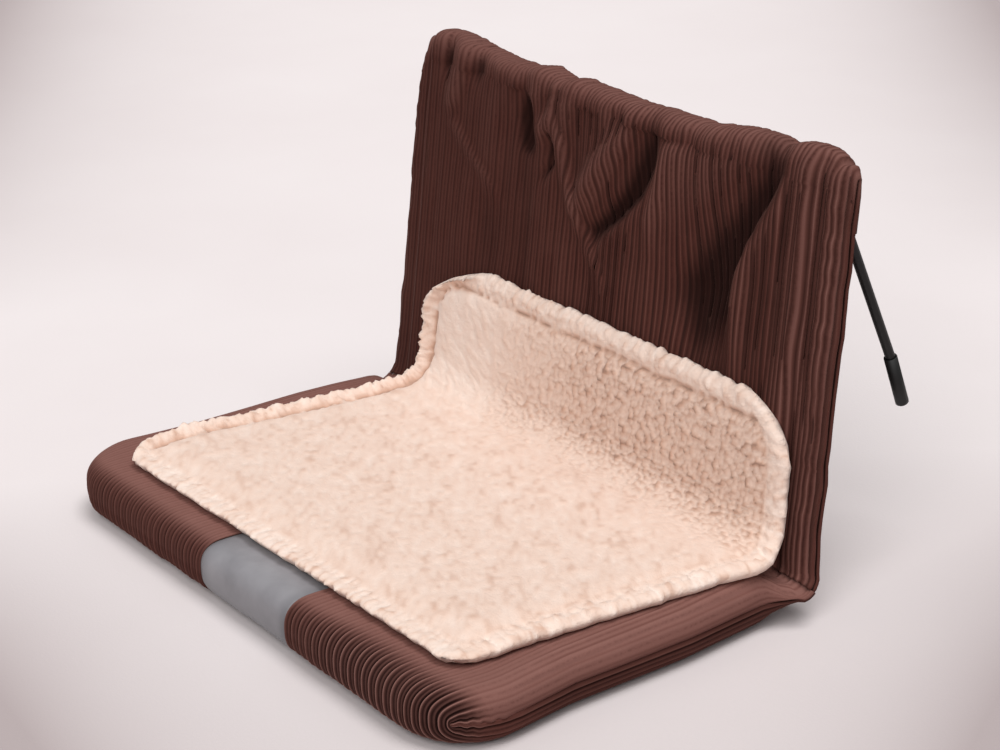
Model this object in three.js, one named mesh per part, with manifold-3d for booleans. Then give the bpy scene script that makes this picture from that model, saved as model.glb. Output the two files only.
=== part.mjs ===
// A radiator cat hammock: a bent steel rod frame with a foam-padded seat, a corduroy cover pulled over it,
// a loose sherpa mat, and two hooks behind the back. Millimetres, +X to the right, +Y to the back, +Z up.
import * as THREE from "three";
import Module from "manifold-3d";
import { mergeVertices } from "three/addons/utils/BufferGeometryUtils.js";

const wasm = await Module();
wasm.setup();

const degrees = THREE.MathUtils.degToRad;

// Covered seat and back
const SEAT_WIDTH = 480; // over the front corners, where it is widest
const SEAT_DEPTH = 286; // front face of the cover to the frame's rear corner
const BAR_WIDTH = 40; // padded bar, over the cover
const BAR_HEIGHT = 38;
const CORNER_RADIUS = 50; // outer front corners, seen from above
const SIDE_IN = 6; // the padded sides run this far in from the front corners
const SIDE_PINCH = 7.5; // and are drawn in by this much more at their rear ends
const SIDE_PINCH_LENGTH = 85; // over this length
const BACK_LENGTH = 265; // rear corner of the frame to the top bar, between rod centres
const BACK_LEAN = degrees(8);
const CLOTH = 1.6;
const GAP = 0.4; // clearance between pieces that lie on each other

// Steel frame
const ROD = 7;
const FRAME_IN = 2; // the side rods stand this far in from the middle of the padded corners
const REAR_BEND = 15; // centreline radius where the seat turns up into the back
const TOP_BEND = 30; // centreline radius of the back's top corners
const WELD_GAP = 0.3;
const CROSS_ROD_HEIGHT = 18; // above the rear corner, along the back

// Hooks
const HOOK_INSET = 25; // in from the back's upright rods
const HOOK_FOOT = 4; // the hook rod starts this far below the cross rod's centre
const HOOK_LEG = 157;
const HOOK_ANGLE = degrees(22.9); // leg against the vertical
const TIP_ANGLE = degrees(18.9); // last stretch against the vertical
const TIP_LENGTH = 36;
const SLEEVE_WALL = 0.8;
const SLEEVE_CLEARANCE = 0.12;
const SLEEVE_END = 1.6;

// Foam tube on the seat bars
const FOAM_GAP = 0.9; // clearance under the cover
const FOAM_BORE_CLEARANCE = 0.4;
const FOAM_JOINT = 12; // the front tube ends this far before the bends
const FOAM_END = 36; // the side foam stops this far short of the rear corner

// Corduroy cover
const REST_SLACK = 0.9; // the cloth stands this far off a single rod, over the clearance
const HOOK_SLACK = 1.1; // and this far off the hook rods
const REAR_SLACK = 2; // and this far at the rear corner
const SEAT_SAG = 5;
const SEAM_STAND = 17; // the back's side seams lie this far out from the upright rods, at the foot
const SEAM_STAND_TOP = 13; // and this far at the top
const SEAM = 5; // width of the sewn side seam of the back
const SEAM_REACH = 14; // the cloth reaches its full stand-off this far in from the seam's edge
const WRAP_DROP = 6; // the turn over the top bar begins this far below the bar's centre
const MOUTH_DROP = 8; // the rear layer ends this far below the top bar's centre
const FLAP_LENGTH = 34; // cloth hanging down behind the top bar
const SLOT_WIDTH = 9.4; // opening in the flap for each hook
const SLOT_TOP = 2; // its upper end, above the top bar's centre
const PUFF = 5; // raised gather of the top edge, left of the right hook
const PUFF_INSET = 35; // in from that hook
const PUFF_WIDTH = 20;
const CORNER_RISE = 2.5; // the right top corner of the cloth stands this much above the bar
const TOP_CORNER_LEFT_WIDTH = 30; // rounding of the cloth's top corners
const TOP_CORNER_LEFT_HEIGHT = 55;
const TOP_CORNER_RIGHT_WIDTH = 8;
const TOP_CORNER_RIGHT_HEIGHT = 12;
const FLAP_HEM = 10; // the flap reaches at least this far below the turn over the top bar
const PANEL_GAP = 0.3; // the seat and back sections meet with this gap at their seam

// Smooth band let into the front of the seat cover
const BAND_LEFT = -42;
const BAND_RIGHT = 65;
const BAND_TUCK = 46; // how far back it reaches, above and below
const BAND_GAP = 0.3;

// Hook-and-loop closure behind the top bar
const STRIP_INSET = 33; // from each hook
const STRIP_WIDTH = 18;
const STRIP_THICKNESS = 1.1;
const STRIP_DROP = 21; // its centre line, below the top bar's centre
const STRIP_GAP = 0.3;

// Loose sherpa mat
const MAT_THICKNESS = 13;
const MAT_EDGE = 10; // thickness of the rolled border
const MAT_BORDER = 14; // border stitching, in from the edge
const MAT_GROOVE = 4; // depth of the stitched line
const MAT_FRONT_Y = 21;
const MAT_FRONT_LEFT = 37; // the mat's sides, in from the widest part of the seat
const MAT_FRONT_RIGHT = 33;
const MAT_REAR_LEFT = 68;
const MAT_REAR_RIGHT = 17;
const MAT_TOP = 119; // upper edge above the rear corner, along the back
const MAT_BEND = 38; // radius of the underside where the mat turns up
const MAT_FRONT_CORNER_LEFT = 29;
const MAT_FRONT_CORNER_RIGHT = 20;
const MAT_TOP_CORNER_LEFT = 75;
const MAT_TOP_CORNER_RIGHT = 44;
const MAT_TOP_CORNER_HEIGHT = 42;

const ROD_SIDES = 10;
const FOAM_SIDES = 14;
const BAR_ROUNDNESS = 2.6; // exponent of the padded bar's section
const WRAP_ROUNDNESS = 2.5; // exponent of the turn over the top bar

const HALF_BAR = BAR_WIDTH / 2;
const HALF_HEIGHT = BAR_HEIGHT / 2;
const FRAME_X = SEAT_WIDTH / 2 - HALF_BAR - FRAME_IN;
const FRAME_CORNER = CORNER_RADIUS - HALF_BAR;
const CORNER_X = SEAT_WIDTH / 2 - CORNER_RADIUS;
const HOOK_X = FRAME_X - HOOK_INSET;
const PUFF_X = HOOK_X - PUFF_INSET;
const BACK_FOOT_X = FRAME_X + SEAM_STAND;
const BACK_TOP_X = FRAME_X + SEAM_STAND_TOP;
const TURN = Math.PI / 2 - BACK_LEAN;
const TANGENT = REAR_BEND * Math.tan(TURN / 2);
const BEND_Y = SEAT_DEPTH - TANGENT; // the seat is straight up to here
const TIGHT = ROD + WELD_GAP; // centre distance of two rods welded side by side
const FOAM_END_Y = SEAT_DEPTH - FOAM_END;
const TAPER_START = FOAM_END_Y + GAP;
const REST_INNER = ROD / 2 + GAP + REST_SLACK;
const HOOK_INNER = TIGHT + ROD / 2 + GAP + HOOK_SLACK;
const MOUTH = BACK_LENGTH - MOUTH_DROP;
const STRIP_STACK = 2 * STRIP_THICKNESS + 3 * STRIP_GAP;
const FLAP_INNER = REST_INNER + CLOTH + STRIP_STACK;
const UPRIGHT_INSIDE = FRAME_X - ROD; // the front cloth begins to rise towards the hooks here
const HOOK_SPREAD = ROD / 2 + CLOTH; // half-width of the cloth's crest over a hook rod

const steel = new THREE.MeshStandardMaterial({ color: 0x121212, roughness: 0.45, metalness: 0.5 });
const vinyl = new THREE.MeshStandardMaterial({ color: 0x0c0c0c, roughness: 0.6, metalness: 0 });
const foam = new THREE.MeshStandardMaterial({ color: 0x4e5155, roughness: 0.95, metalness: 0 });
const corduroy = new THREE.MeshStandardMaterial({ color: 0x54302b, roughness: 0.95, metalness: 0 });
const leatherette = new THREE.MeshStandardMaterial({ color: 0x6d7073, roughness: 0.55, metalness: 0 });
const sherpa = new THREE.MeshStandardMaterial({ color: 0xe3c7b3, roughness: 1, metalness: 0 });
const tape = new THREE.MeshStandardMaterial({ color: 0x2c1a17, roughness: 0.9, metalness: 0 });

const group = new THREE.Group();

function addPart(name, geometry, material) {
  const mesh = new THREE.Mesh(geometry, material);
  mesh.name = name;
  group.add(mesh);
}

const clamp01 = (v) => Math.min(1, Math.max(0, v));
const mix = (a, b, t) => a + (b - a) * t;
const bell = (v, width) => Math.exp(-((v / width) ** 2));
const ramp = (a, b, v) => clamp01((v - a) / (b - a));
const smooth = (a, b, v) => {
  const t = ramp(a, b, v);
  return t * t * (3 - 2 * t);
};

// Height of a rounded edge, at a distance in from it
function rounded(inset, reach, height, roundness = 2) {
  return height * (1 - (1 - clamp01(inset / reach)) ** roundness) ** (1 / roundness);
}

// The back's own directions: along it from the rear corner, and ahead of its plane towards the front
const ALONG = new THREE.Vector3(0, Math.sin(BACK_LEAN), Math.cos(BACK_LEAN));
const AHEAD = new THREE.Vector3(0, -Math.cos(BACK_LEAN), Math.sin(BACK_LEAN));
const REAR_CORNER = new THREE.Vector3(0, SEAT_DEPTH, HALF_HEIGHT);
const backPoint = (x, along, ahead) =>
  REAR_CORNER.clone().addScaledVector(ALONG, along).addScaledVector(AHEAD, ahead).setX(x);

// A point in the rear bend, at an angle from its seat end and a height over the frame's line
function bendPoint(x, angle, height) {
  const reach = REAR_BEND - height;
  return new THREE.Vector3(x, BEND_Y + reach * Math.sin(angle),
    HALF_HEIGHT + REAR_BEND - reach * Math.cos(angle));
}

function geometryFrom(points, index) {
  const geometry = new THREE.BufferGeometry();
  geometry.setAttribute("position", new THREE.Float32BufferAttribute(points, 3));
  geometry.setIndex(index);
  return geometry;
}

// Joins equal points and drops the faces that this closes up
function welded(geometry) {
  const merged = mergeVertices(geometry, GAP / 400);
  const list = merged.index.array;
  const kept = [];
  for (let i = 0; i < list.length; i += 3) {
    const [a, b, c] = list.slice(i, i + 3);
    if (a !== b && b !== c && c !== a) kept.push(a, b, c);
  }
  merged.setIndex(kept);
  return merged;
}

function toSolid(geometry) {
  const bare = geometry.clone();
  bare.deleteAttribute("normal");
  bare.deleteAttribute("uv");
  const merged = welded(bare);
  return new wasm.Manifold(new wasm.Mesh({
    numProp: 3,
    vertProperties: new Float32Array(merged.attributes.position.array),
    triVerts: new Uint32Array(merged.index.array),
  }));
}

function toGeometry(solid) {
  const mesh = solid.getMesh();
  return geometryFrom(Array.from(mesh.vertProperties), Array.from(mesh.triVerts));
}

// A box in a turned frame: its middle, its full sizes, and the angle that it leans back
function boxSolid(centre, size, lean = 0) {
  const box = new THREE.BoxGeometry(size.x, size.y, size.z);
  box.rotateX(-lean).translate(centre.x, centre.y, centre.z);
  return toSolid(box);
}

// Collects the faces of a body that is put together from grids of points
class Skin {
  points = [];
  index = [];

  point(p) {
    this.points.push(p.x, p.y, p.z);
    return this.points.length / 3 - 1;
  }

  grid(rows, flip = false) {
    const at = rows.map((row) => row.map((p) => this.point(p)));
    for (let i = 0; i + 1 < at.length; i++) {
      for (let j = 0; j + 1 < at[i].length; j++) {
        this.quad(at[i][j], at[i][j + 1], at[i + 1][j + 1], at[i + 1][j], flip);
      }
    }
  }

  // A wall between two lines of points
  wall(outer, inner, flip = false) {
    this.grid([outer, inner], flip);
  }

  quad(a, b, c, d, flip) {
    if (flip) this.index.push(a, c, b, a, d, c);
    else this.index.push(a, b, c, a, c, d);
  }

  geometry() {
    return welded(geometryFrom(this.points, this.index));
  }
}

const column = (grid, j) => grid.map((row) => row.at(j));

// Points of a rounded corner between two straight stretches
function roundCorner(before, corner, after, radius, steps) {
  const a = new THREE.Vector3().subVectors(before, corner).normalize();
  const b = new THREE.Vector3().subVectors(after, corner).normalize();
  const half = a.angleTo(b) / 2;
  const middle = a.clone().add(b).normalize();
  const centre = corner.clone().addScaledVector(middle, radius / Math.sin(half));
  const start = corner.clone().addScaledVector(a, radius / Math.tan(half)).sub(centre);
  const end = corner.clone().addScaledVector(b, radius / Math.tan(half)).sub(centre);
  const axis = new THREE.Vector3().crossVectors(start, end).normalize();
  const sweep = start.angleTo(end);
  return Array.from({ length: steps + 1 }, (_, i) =>
    start.clone().applyAxisAngle(axis, (sweep * i) / steps).add(centre));
}

// The first ring of a rod: a polygon square to its first stretch
function firstRing(path, section, sides) {
  const along = new THREE.Vector3().subVectors(path[1], path[0]).normalize();
  const guide = Math.abs(along.z) > Math.SQRT1_2 ? new THREE.Vector3(1, 0, 0) : new THREE.Vector3(0, 0, 1);
  const side = new THREE.Vector3().crossVectors(along, guide).normalize();
  const up = new THREE.Vector3().crossVectors(side, along).normalize();
  return Array.from({ length: sides }, (_, k) => {
    const angle = (2 * Math.PI * (k + 1 / 2)) / sides;
    return path[0].clone()
      .addScaledVector(side, Math.cos(angle) * section.x)
      .addScaledVector(up, Math.sin(angle) * section.y);
  });
}

// Carries a ring along a path, mitred at each of its points
function sweptRings(path, section, sides, closed) {
  const count = path.length;
  const at = (i) => path[closed ? (i + count) % count : Math.min(count - 1, Math.max(0, i))];
  const stretch = (i) => new THREE.Vector3().subVectors(at(i + 1), at(i)).normalize();
  let ring = firstRing(path, section, sides);
  const onPlane = (points, direction, origin, normal) => points.map((p) => {
    const t = origin.clone().sub(p).dot(normal) / direction.dot(normal);
    return p.clone().addScaledVector(direction, t);
  });
  if (closed) {
    const normal = stretch(0).add(stretch(-1)).normalize();
    ring = onPlane(ring, stretch(0), path[0], normal);
  }
  const rings = [ring];
  for (let i = 1; i < count; i++) {
    const before = stretch(i - 1);
    const after = closed || i + 1 < count ? stretch(i) : before;
    ring = onPlane(ring, before, path[i], before.clone().add(after).normalize());
    rings.push(ring);
  }
  return rings;
}

// A rod or tube along a path. The section gives its half-width and half-height, and bore its hole's,
// which runs along a path of its own where borePath is given.
function sweptGeometry(path, section, options = {}) {
  const { sides = ROD_SIDES, closed = false, bore = null, borePath = path } = options;
  const skin = new Skin();
  const outer = sweptRings(path, section, sides, closed);
  const wrap = (ring) => [...ring, ring[0]];
  if (closed) {
    // The last ring meets the first one where its corners lie
    const next = outer[0];
    const direction = new THREE.Vector3().subVectors(path[0], path.at(-1)).normalize();
    const flat = (p) => p.clone().addScaledVector(direction, -p.dot(direction));
    const from = flat(outer.at(-1)[0]);
    const shift = next.map((p, k) => [flat(p).distanceTo(from), k]).sort((a, b) => a[0] - b[0])[0][1];
    const turned = next.map((_, k) => next[(k + shift) % sides]);
    skin.grid([...outer, turned].map(wrap), true);
    return skin.geometry();
  }
  skin.grid(outer.map(wrap), true);
  if (bore) {
    const inner = sweptRings(borePath, bore, sides, false);
    skin.grid(inner.map(wrap));
    skin.wall(wrap(inner[0]), wrap(outer[0]), true);
    skin.wall(wrap(outer.at(-1)), wrap(inner.at(-1)), true);
    return skin.geometry();
  }
  for (const [ring, centre, flip] of [[outer[0], path[0], false], [outer.at(-1), path.at(-1), true]]) {
    skin.wall(wrap(ring), wrap(ring).map(() => centre), flip);
  }
  return skin.geometry();
}

const rodSection = new THREE.Vector2(ROD / 2, ROD / 2);

// Frame: one closed rod for seat and back, and a cross rod at the rear corner
function frameLoop() {
  const front = HALF_BAR;
  const right = [
    new THREE.Vector3(0, front, HALF_HEIGHT),
    new THREE.Vector3(FRAME_X, front, HALF_HEIGHT),
    REAR_CORNER.clone().setX(FRAME_X),
    backPoint(FRAME_X, BACK_LENGTH, 0),
    backPoint(0, BACK_LENGTH, 0),
  ];
  const corners = [
    { radius: FRAME_CORNER, steps: 6 },
    { radius: REAR_BEND, steps: 5 },
    { radius: TOP_BEND, steps: 5 },
  ];
  const half = [right[0]];
  corners.forEach(({ radius, steps }, i) => {
    half.push(...roundCorner(right[i], right[i + 1], right[i + 2], radius, steps));
  });
  half.push(right.at(-1));
  const mirrored = half.slice(1, -1).reverse().map((p) => p.clone().setX(-p.x));
  return sweptGeometry([...half, ...mirrored], rodSection, { closed: true });
}
addPart("frame_loop", frameLoop(), steel);

const crossRodEnd = FRAME_X - ROD / 2 - WELD_GAP;
const crossRodPath = [-1, 1].map((side) => backPoint(side * crossRodEnd, CROSS_ROD_HEIGHT, 0));
addPart("rear_cross_rod", sweptGeometry(crossRodPath, rodSection), steel);

// Hook rod: up the front of the back, over the top bar, and down behind it
const legTurn = HOOK_ANGLE + BACK_LEAN; // leg against the back's plane
function hookPath(x) {
  const steps = 9;
  const sweep = Math.PI - legTurn;
  const path = [backPoint(x, CROSS_ROD_HEIGHT - HOOK_FOOT, TIGHT)];
  for (let i = 0; i <= steps; i++) {
    const angle = (sweep * i) / steps;
    path.push(backPoint(x, BACK_LENGTH + TIGHT * Math.sin(angle), TIGHT * Math.cos(angle)));
  }
  const step = (angle, length) => path.at(-1).clone()
    .add(new THREE.Vector3(0, Math.sin(angle) * length, -Math.cos(angle) * length));
  path.push(step(HOOK_ANGLE, HOOK_LEG));
  path.push(step(TIP_ANGLE, TIP_LENGTH));
  return path;
}

function hookSleeve(path) {
  const sides = 12;
  const bore = (ROD / 2 + SLEEVE_CLEARANCE) / Math.cos(Math.PI / sides);
  const outer = bore + SLEEVE_WALL;
  const [kink, tip] = path.slice(-2);
  const along = new THREE.Vector3().subVectors(tip, kink).normalize();
  const depth = TIP_LENGTH + GAP;
  const length = depth + SLEEVE_END;
  const profile = [[bore, GAP], [outer, GAP], [outer, length - SLEEVE_END / 2],
    [outer - SLEEVE_END / 2, length], [0, length], [0, depth], [bore, depth], [bore, GAP]]
    .map(([radius, height]) => new THREE.Vector2(radius, height));
  const sleeve = new THREE.LatheGeometry(profile, sides);
  sleeve.applyQuaternion(new THREE.Quaternion().setFromUnitVectors(new THREE.Vector3(0, 1, 0), along));
  sleeve.translate(kink.x, kink.y, kink.z);
  return toGeometry(toSolid(sleeve));
}

for (const [side, name] of [[-1, "left"], [1, "right"]]) {
  const path = hookPath(side * HOOK_X);
  addPart(`hook_rod_${name}`, sweptGeometry(path, rodSection), steel);
  addPart(`hook_tip_${name}`, hookSleeve(path), vinyl);
}

// Half-width of the seat at a distance from its front, from the front corners to the foam's rear ends
const sideY = 2 * CORNER_RADIUS;
const pinchY = BEND_Y - SIDE_PINCH_LENGTH;
const barHalfWidth = (y) => SEAT_WIDTH / 2
  - SIDE_IN * ramp(CORNER_RADIUS, sideY, y)
  - SIDE_PINCH * ramp(pinchY, BEND_Y, y);

// Foam: a straight tube on the front bar and a bent one on each side, which the cover draws in over its rod
const foamSection = new THREE.Vector2(HALF_BAR - CLOTH - FOAM_GAP, HALF_HEIGHT - CLOTH - FOAM_GAP);
const foamBore = (ROD / 2 + FOAM_BORE_CLEARANCE) / Math.cos(Math.PI / FOAM_SIDES);
const foamHole = new THREE.Vector2(foamBore, foamBore);
const foamOptions = { sides: FOAM_SIDES, bore: foamHole };
const foamFront = [-1, 1].map((side) =>
  new THREE.Vector3(side * (CORNER_X - FOAM_JOINT - GAP), HALF_BAR, HALF_HEIGHT));
addPart("foam_front", sweptGeometry(foamFront, foamSection, foamOptions), foam);
for (const [side, name] of [[-1, "left"], [1, "right"]]) {
  const start = new THREE.Vector3(side * (CORNER_X - FOAM_JOINT), HALF_BAR, HALF_HEIGHT);
  const ys = [sideY, pinchY, FOAM_END_Y - ROD]; // the last stretch runs square to the tube's end
  const line = (cornerX, middle) => {
    const corner = start.clone().setX(side * cornerX);
    const ahead = corner.clone().setY(FOAM_END_Y);
    const sides = [...ys, FOAM_END_Y].map((y) =>
      new THREE.Vector3(side * middle(Math.min(y, ys.at(-1))), y, HALF_HEIGHT));
    return [start, ...roundCorner(start, corner, ahead, FRAME_CORNER, 8), ...sides];
  };
  const path = line(SEAT_WIDTH / 2 - HALF_BAR, (y) => barHalfWidth(y) - HALF_BAR);
  const borePath = line(FRAME_X, () => FRAME_X);
  addPart(`foam_${name}`, sweptGeometry(path, foamSection, { ...foamOptions, borePath }), foam);
}

// Folds of the back's front cloth. Each runs from a foot to a top, both as shares of the hooks' place across
// and of the height of the back. The width is a share of the hooks' place, the depth of their stand-off.
const foldShares = [
  { top: [0.96, 1.02], foot: [0.72, 0.47], width: 0.078, depth: -0.5 },
  { top: [0.83, 1.02], foot: [0.87, 0.47], width: 0.088, depth: 0.33 },
  { top: [0.155, 1.02], foot: [-0.115, 0.62], width: 0.073, depth: -0.46 },
  { top: [0.34, 1.02], foot: [0.31, 0.74], width: 0.093, depth: 0.25 },
  { top: [-0.32, 1.02], foot: [-0.26, 0.58], width: 0.067, depth: -0.46 },
  { top: [-0.48, 1.02], foot: [-0.1, 0.47], width: 0.073, depth: 0.29 },
  { top: [0.56, 1.02], foot: [0.5, 0.8], width: 0.067, depth: -0.33 },
  { top: [-0.78, 1.02], foot: [-0.66, 0.66], width: 0.083, depth: -0.25 },
];

// 1 over a hook rod, falling to 0 at a distance from it
const nearHook = (x, reach) => 1 - smooth(HOOK_SPREAD, reach, Math.abs(Math.abs(x) - HOOK_X));

function foldAt(x, along) {
  let total = 0;
  for (const { top, foot, width, depth } of foldShares) {
    const t = (along / MOUTH - foot[1]) / (top[1] - foot[1]);
    const across = x / HOOK_X - mix(foot[0], top[0], t);
    total += depth * HOOK_INNER * smooth(0, 1, t) * bell(across, width);
  }
  return total * smooth(UPRIGHT_INSIDE, HOOK_X, Math.abs(x)) * (1 - nearHook(x, 2 * ROD));
}

function frontStandOff(x) {
  const rise = smooth(UPRIGHT_INSIDE, HOOK_X + HOOK_SPREAD, Math.abs(x));
  return mix(REST_INNER, HOOK_INNER, rise);
}

const backHalfWidth = (along) => mix(BACK_FOOT_X, BACK_TOP_X, clamp01(along / BACK_LENGTH));
const seamInset = (x, along) => backHalfWidth(along) - Math.abs(x);

// Height of each layer of the back over the frame's plane, with the distance in from its side seam.
// The wall is 0 outside and CLOTH inside.
function backLayer(x, along, wall, front, inset = seamInset(x, along)) {
  const edge = wall > 0 ? SEAM : 0;
  const standOff = front ? frontStandOff(x) : REST_INNER;
  const loose = 1 - (standOff - REST_INNER) / (HOOK_INNER - REST_INNER);
  const slack = (REAR_SLACK - REST_SLACK) * loose * (1 - smooth(0, SEAM_REACH * 3, along));
  const fold = front ? foldAt(x, along) : 0;
  const lift = rounded(inset - edge, SEAM_REACH - edge, 1);
  return (standOff + CLOTH - wall + slack + fold) * lift;
}

// Seat section of the cover
const seatHalfWidth = (y) => mix(barHalfWidth(y), BACK_FOOT_X, smooth(TAPER_START, BEND_Y, y));

function seatOutline(y, wall) {
  const radius = CORNER_RADIUS - wall;
  const ahead = CORNER_RADIUS - y;
  const taper = smooth(TAPER_START, BEND_Y, y);
  const edge = mix(wall, wall > 0 ? SEAM : 0, taper);
  if (ahead <= 0) return seatHalfWidth(y) - edge;
  return CORNER_X + Math.sqrt(Math.max(0, radius ** 2 - ahead ** 2));
}

function seatInset(x, y, wall) {
  const side = Math.abs(x) - CORNER_X;
  const ahead = CORNER_RADIUS - y;
  if (side > 0 && ahead > 0) return CORNER_RADIUS - wall - Math.hypot(side, ahead);
  return Math.min(y - wall, seatOutline(y, wall) - Math.abs(x));
}

function seatHeight(x, y, wall, upper) {
  const inset = seatInset(x, y, wall);
  const bar = rounded(inset, HALF_BAR - wall, HALF_HEIGHT - wall, BAR_ROUNDNESS);
  const sag = upper ? SEAT_SAG * smooth(HALF_BAR, CORNER_RADIUS * 2, inset) : 0;
  const rear = backLayer(x, 0, wall, upper, seatHalfWidth(y) - Math.abs(x));
  return mix(bar - sag, rear, smooth(TAPER_START, BEND_Y, y));
}

// Rows from the padded front bar to the rear bend, and columns from the padded side bars to the middle
const barShares = [0, 0.05, 0.175, 0.4, 0.7, 1];
const cornerRowShares = [0.27, 0.6, 1];
const taperRowShares = [1 / 3, 2 / 3, 1];
const besideBarShares = [1.5, 2.3];
const middleShares = [0.25, 0.5, 0.75];
const seatRows = [
  ...cornerRowShares.map((share) => mix(HALF_BAR, CORNER_RADIUS, share)),
  ...[sideY, pinchY, TAPER_START],
  ...taperRowShares.map((share) => mix(TAPER_START, BEND_Y, share)),
];

function seatGrid(wall, upper) {
  const reach = HALF_BAR - wall;
  const rows = [...barShares.map((share) => wall + share * reach), ...seatRows];
  const grid = rows.map((y) => {
    const half = Math.max(CORNER_X, seatOutline(y, wall));
    const taper = smooth(TAPER_START, BEND_Y, y);
    const bar = mix(reach, SEAM_REACH - (wall > 0 ? SEAM : 0), taper);
    const side = [...barShares.map((share) => half - share * bar),
      ...besideBarShares.map((share) => half - share * HALF_BAR + wall)];
    const inner = side.at(-1);
    const middle = middleShares.map((share) => mix(inner, -inner, share));
    const xs = [...side.map((x) => -x), ...middle.reverse(), ...side.reverse()];
    return xs.map((x) => {
      const height = seatHeight(x, y, wall, upper);
      return new THREE.Vector3(x, y, HALF_HEIGHT + (upper ? height : -height));
    });
  });
  const seam = TURN / 2 - PANEL_GAP / 2 / REAR_BEND;
  for (const angle of [seam / 2, seam]) {
    grid.push(grid.at(-1).map(({ x }) => {
      const height = backLayer(x, 0, wall, upper);
      return bendPoint(x, angle, upper ? height : -height);
    }));
  }
  return grid;
}

function seatCoverSolid() {
  const skin = new Skin();
  const outer = { upper: seatGrid(0, true), lower: seatGrid(0, false) };
  const inner = { upper: seatGrid(CLOTH, true), lower: seatGrid(CLOTH, false) };
  skin.grid(outer.upper);
  skin.grid(outer.lower, true);
  skin.grid(inner.upper, true);
  skin.grid(inner.lower);
  skin.wall(outer.upper.at(-1), inner.upper.at(-1));
  skin.wall(outer.lower.at(-1), inner.lower.at(-1), true);
  return toSolid(skin.geometry());
}

function bandBox(gap) {
  const low = new THREE.Vector3(BAND_LEFT + gap, -BAND_TUCK, -BAR_HEIGHT);
  const high = new THREE.Vector3(BAND_RIGHT - gap, BAND_TUCK - gap, 2 * BAR_HEIGHT);
  const size = new THREE.Vector3().subVectors(high, low);
  return boxSolid(low.add(high).multiplyScalar(1 / 2), size);
}

const seatSolid = seatCoverSolid();
addPart("seat_cover", toGeometry(seatSolid.subtract(bandBox(0))), corduroy);
addPart("grey_band", toGeometry(seatSolid.intersect(bandBox(BAND_GAP))), leatherette);

// Back section of the cover: front layer, turn over the top bar, flap behind it, and rear layer
const backColumns = [0, 0.36, 0.7, 1].map((share) => share * SEAM_REACH);
const hookColumns = [UPRIGHT_INSIDE, HOOK_X + HOOK_SPREAD, HOOK_X - HOOK_SPREAD];
const frontShares = [0.86, 0.62, 0.37, 0.12, -0.12, -0.37, -0.62, -0.86];
const backRowShares = [0.05, 0.11, 0.22, 0.36, 0.48, 0.6, 0.7, 0.79, 0.88, 1];
const WRAP_STEPS = 6;

function backXs(half, wall, seamed, crests, shares) {
  const edge = wall > 0 && seamed ? SEAM : 0;
  const scale = (SEAM_REACH - edge) / SEAM_REACH;
  const side = [...backColumns.map((inset) => half - edge - inset * scale), ...crests];
  const middle = shares.map((share) => share * HOOK_X);
  return [...side.map((x) => -x), ...middle.reverse(), ...side.reverse()];
}

const topRise = (x) => PUFF * bell(x - PUFF_X, PUFF_WIDTH)
  + (HOOK_INNER - REST_INNER) * nearHook(x, 3 * ROD)
  + CORNER_RISE * smooth(FRAME_X - ROD, FRAME_X + ROD, x);
const flapStandOff = (x) => mix(FLAP_INNER, HOOK_INNER, nearHook(x, 4 * ROD));

// How far the rounded top corners lower the cloth
function cornerDrop(x) {
  const width = x < 0 ? TOP_CORNER_LEFT_WIDTH : TOP_CORNER_RIGHT_WIDTH;
  const height = x < 0 ? TOP_CORNER_LEFT_HEIGHT : TOP_CORNER_RIGHT_HEIGHT;
  return height - rounded(BACK_TOP_X - Math.abs(x), width, height);
}

function backRows(wall, front) {
  const grid = [];
  const xsAt = (along) => front
    ? backXs(backHalfWidth(along), wall, true, hookColumns, frontShares)
    : backXs(backHalfWidth(along), wall, true, [], [0]);
  const seam = TURN / 2 + PANEL_GAP / 2 / REAR_BEND;
  for (const angle of [seam, mix(seam, TURN, 1 / 2), TURN]) {
    grid.push(xsAt(0).map((x) => {
      const height = backLayer(x, 0, wall, front);
      return bendPoint(x, angle, front ? height : -height);
    }));
  }
  const topXs = xsAt(BACK_LENGTH);
  for (const share of backRowShares) {
    grid.push(topXs.map((topX, j) => {
      const along = mix(TANGENT, MOUTH - cornerDrop(topX), share);
      const x = xsAt(along)[j];
      const height = backLayer(x, along, wall, front);
      return backPoint(x, along, front ? height : -height);
    }));
  }
  return grid;
}

// The turn over the top bar and the flap behind it
function topRows(wall) {
  const grid = [];
  const xs = backXs(BACK_TOP_X, wall, false, hookColumns, frontShares);
  const base = (x) => BACK_LENGTH - WRAP_DROP - cornerDrop(x);
  const hem = (x) => Math.min(BACK_LENGTH - FLAP_LENGTH, base(x) - FLAP_HEM);
  const power = 2 / WRAP_ROUNDNESS;
  const thickness = CLOTH - wall;
  const layer = (x, standOff) => {
    const lift = rounded(seamInset(x, BACK_LENGTH), SEAM_REACH, 1);
    return mix(PANEL_GAP, standOff, lift) + thickness;
  };
  for (let i = 0; i <= WRAP_STEPS; i++) {
    const angle = (Math.PI * i) / WRAP_STEPS;
    const reach = Math.abs(Math.cos(angle)) ** power;
    const rise = Math.sin(angle) ** power;
    const front = 2 * i <= WRAP_STEPS;
    grid.push(xs.map((x) => {
      const apex = WRAP_DROP + REST_INNER + topRise(x) + thickness;
      const standOff = front ? frontStandOff(x) + foldAt(x, base(x)) : flapStandOff(x);
      return backPoint(x, base(x) + apex * rise, layer(x, standOff) * (front ? reach : -reach));
    }));
  }
  for (const share of [1 / 2, 1]) {
    grid.push(xs.map((x) => backPoint(x, mix(base(x), hem(x), share), -layer(x, flapStandOff(x)))));
  }
  return grid;
}

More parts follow.
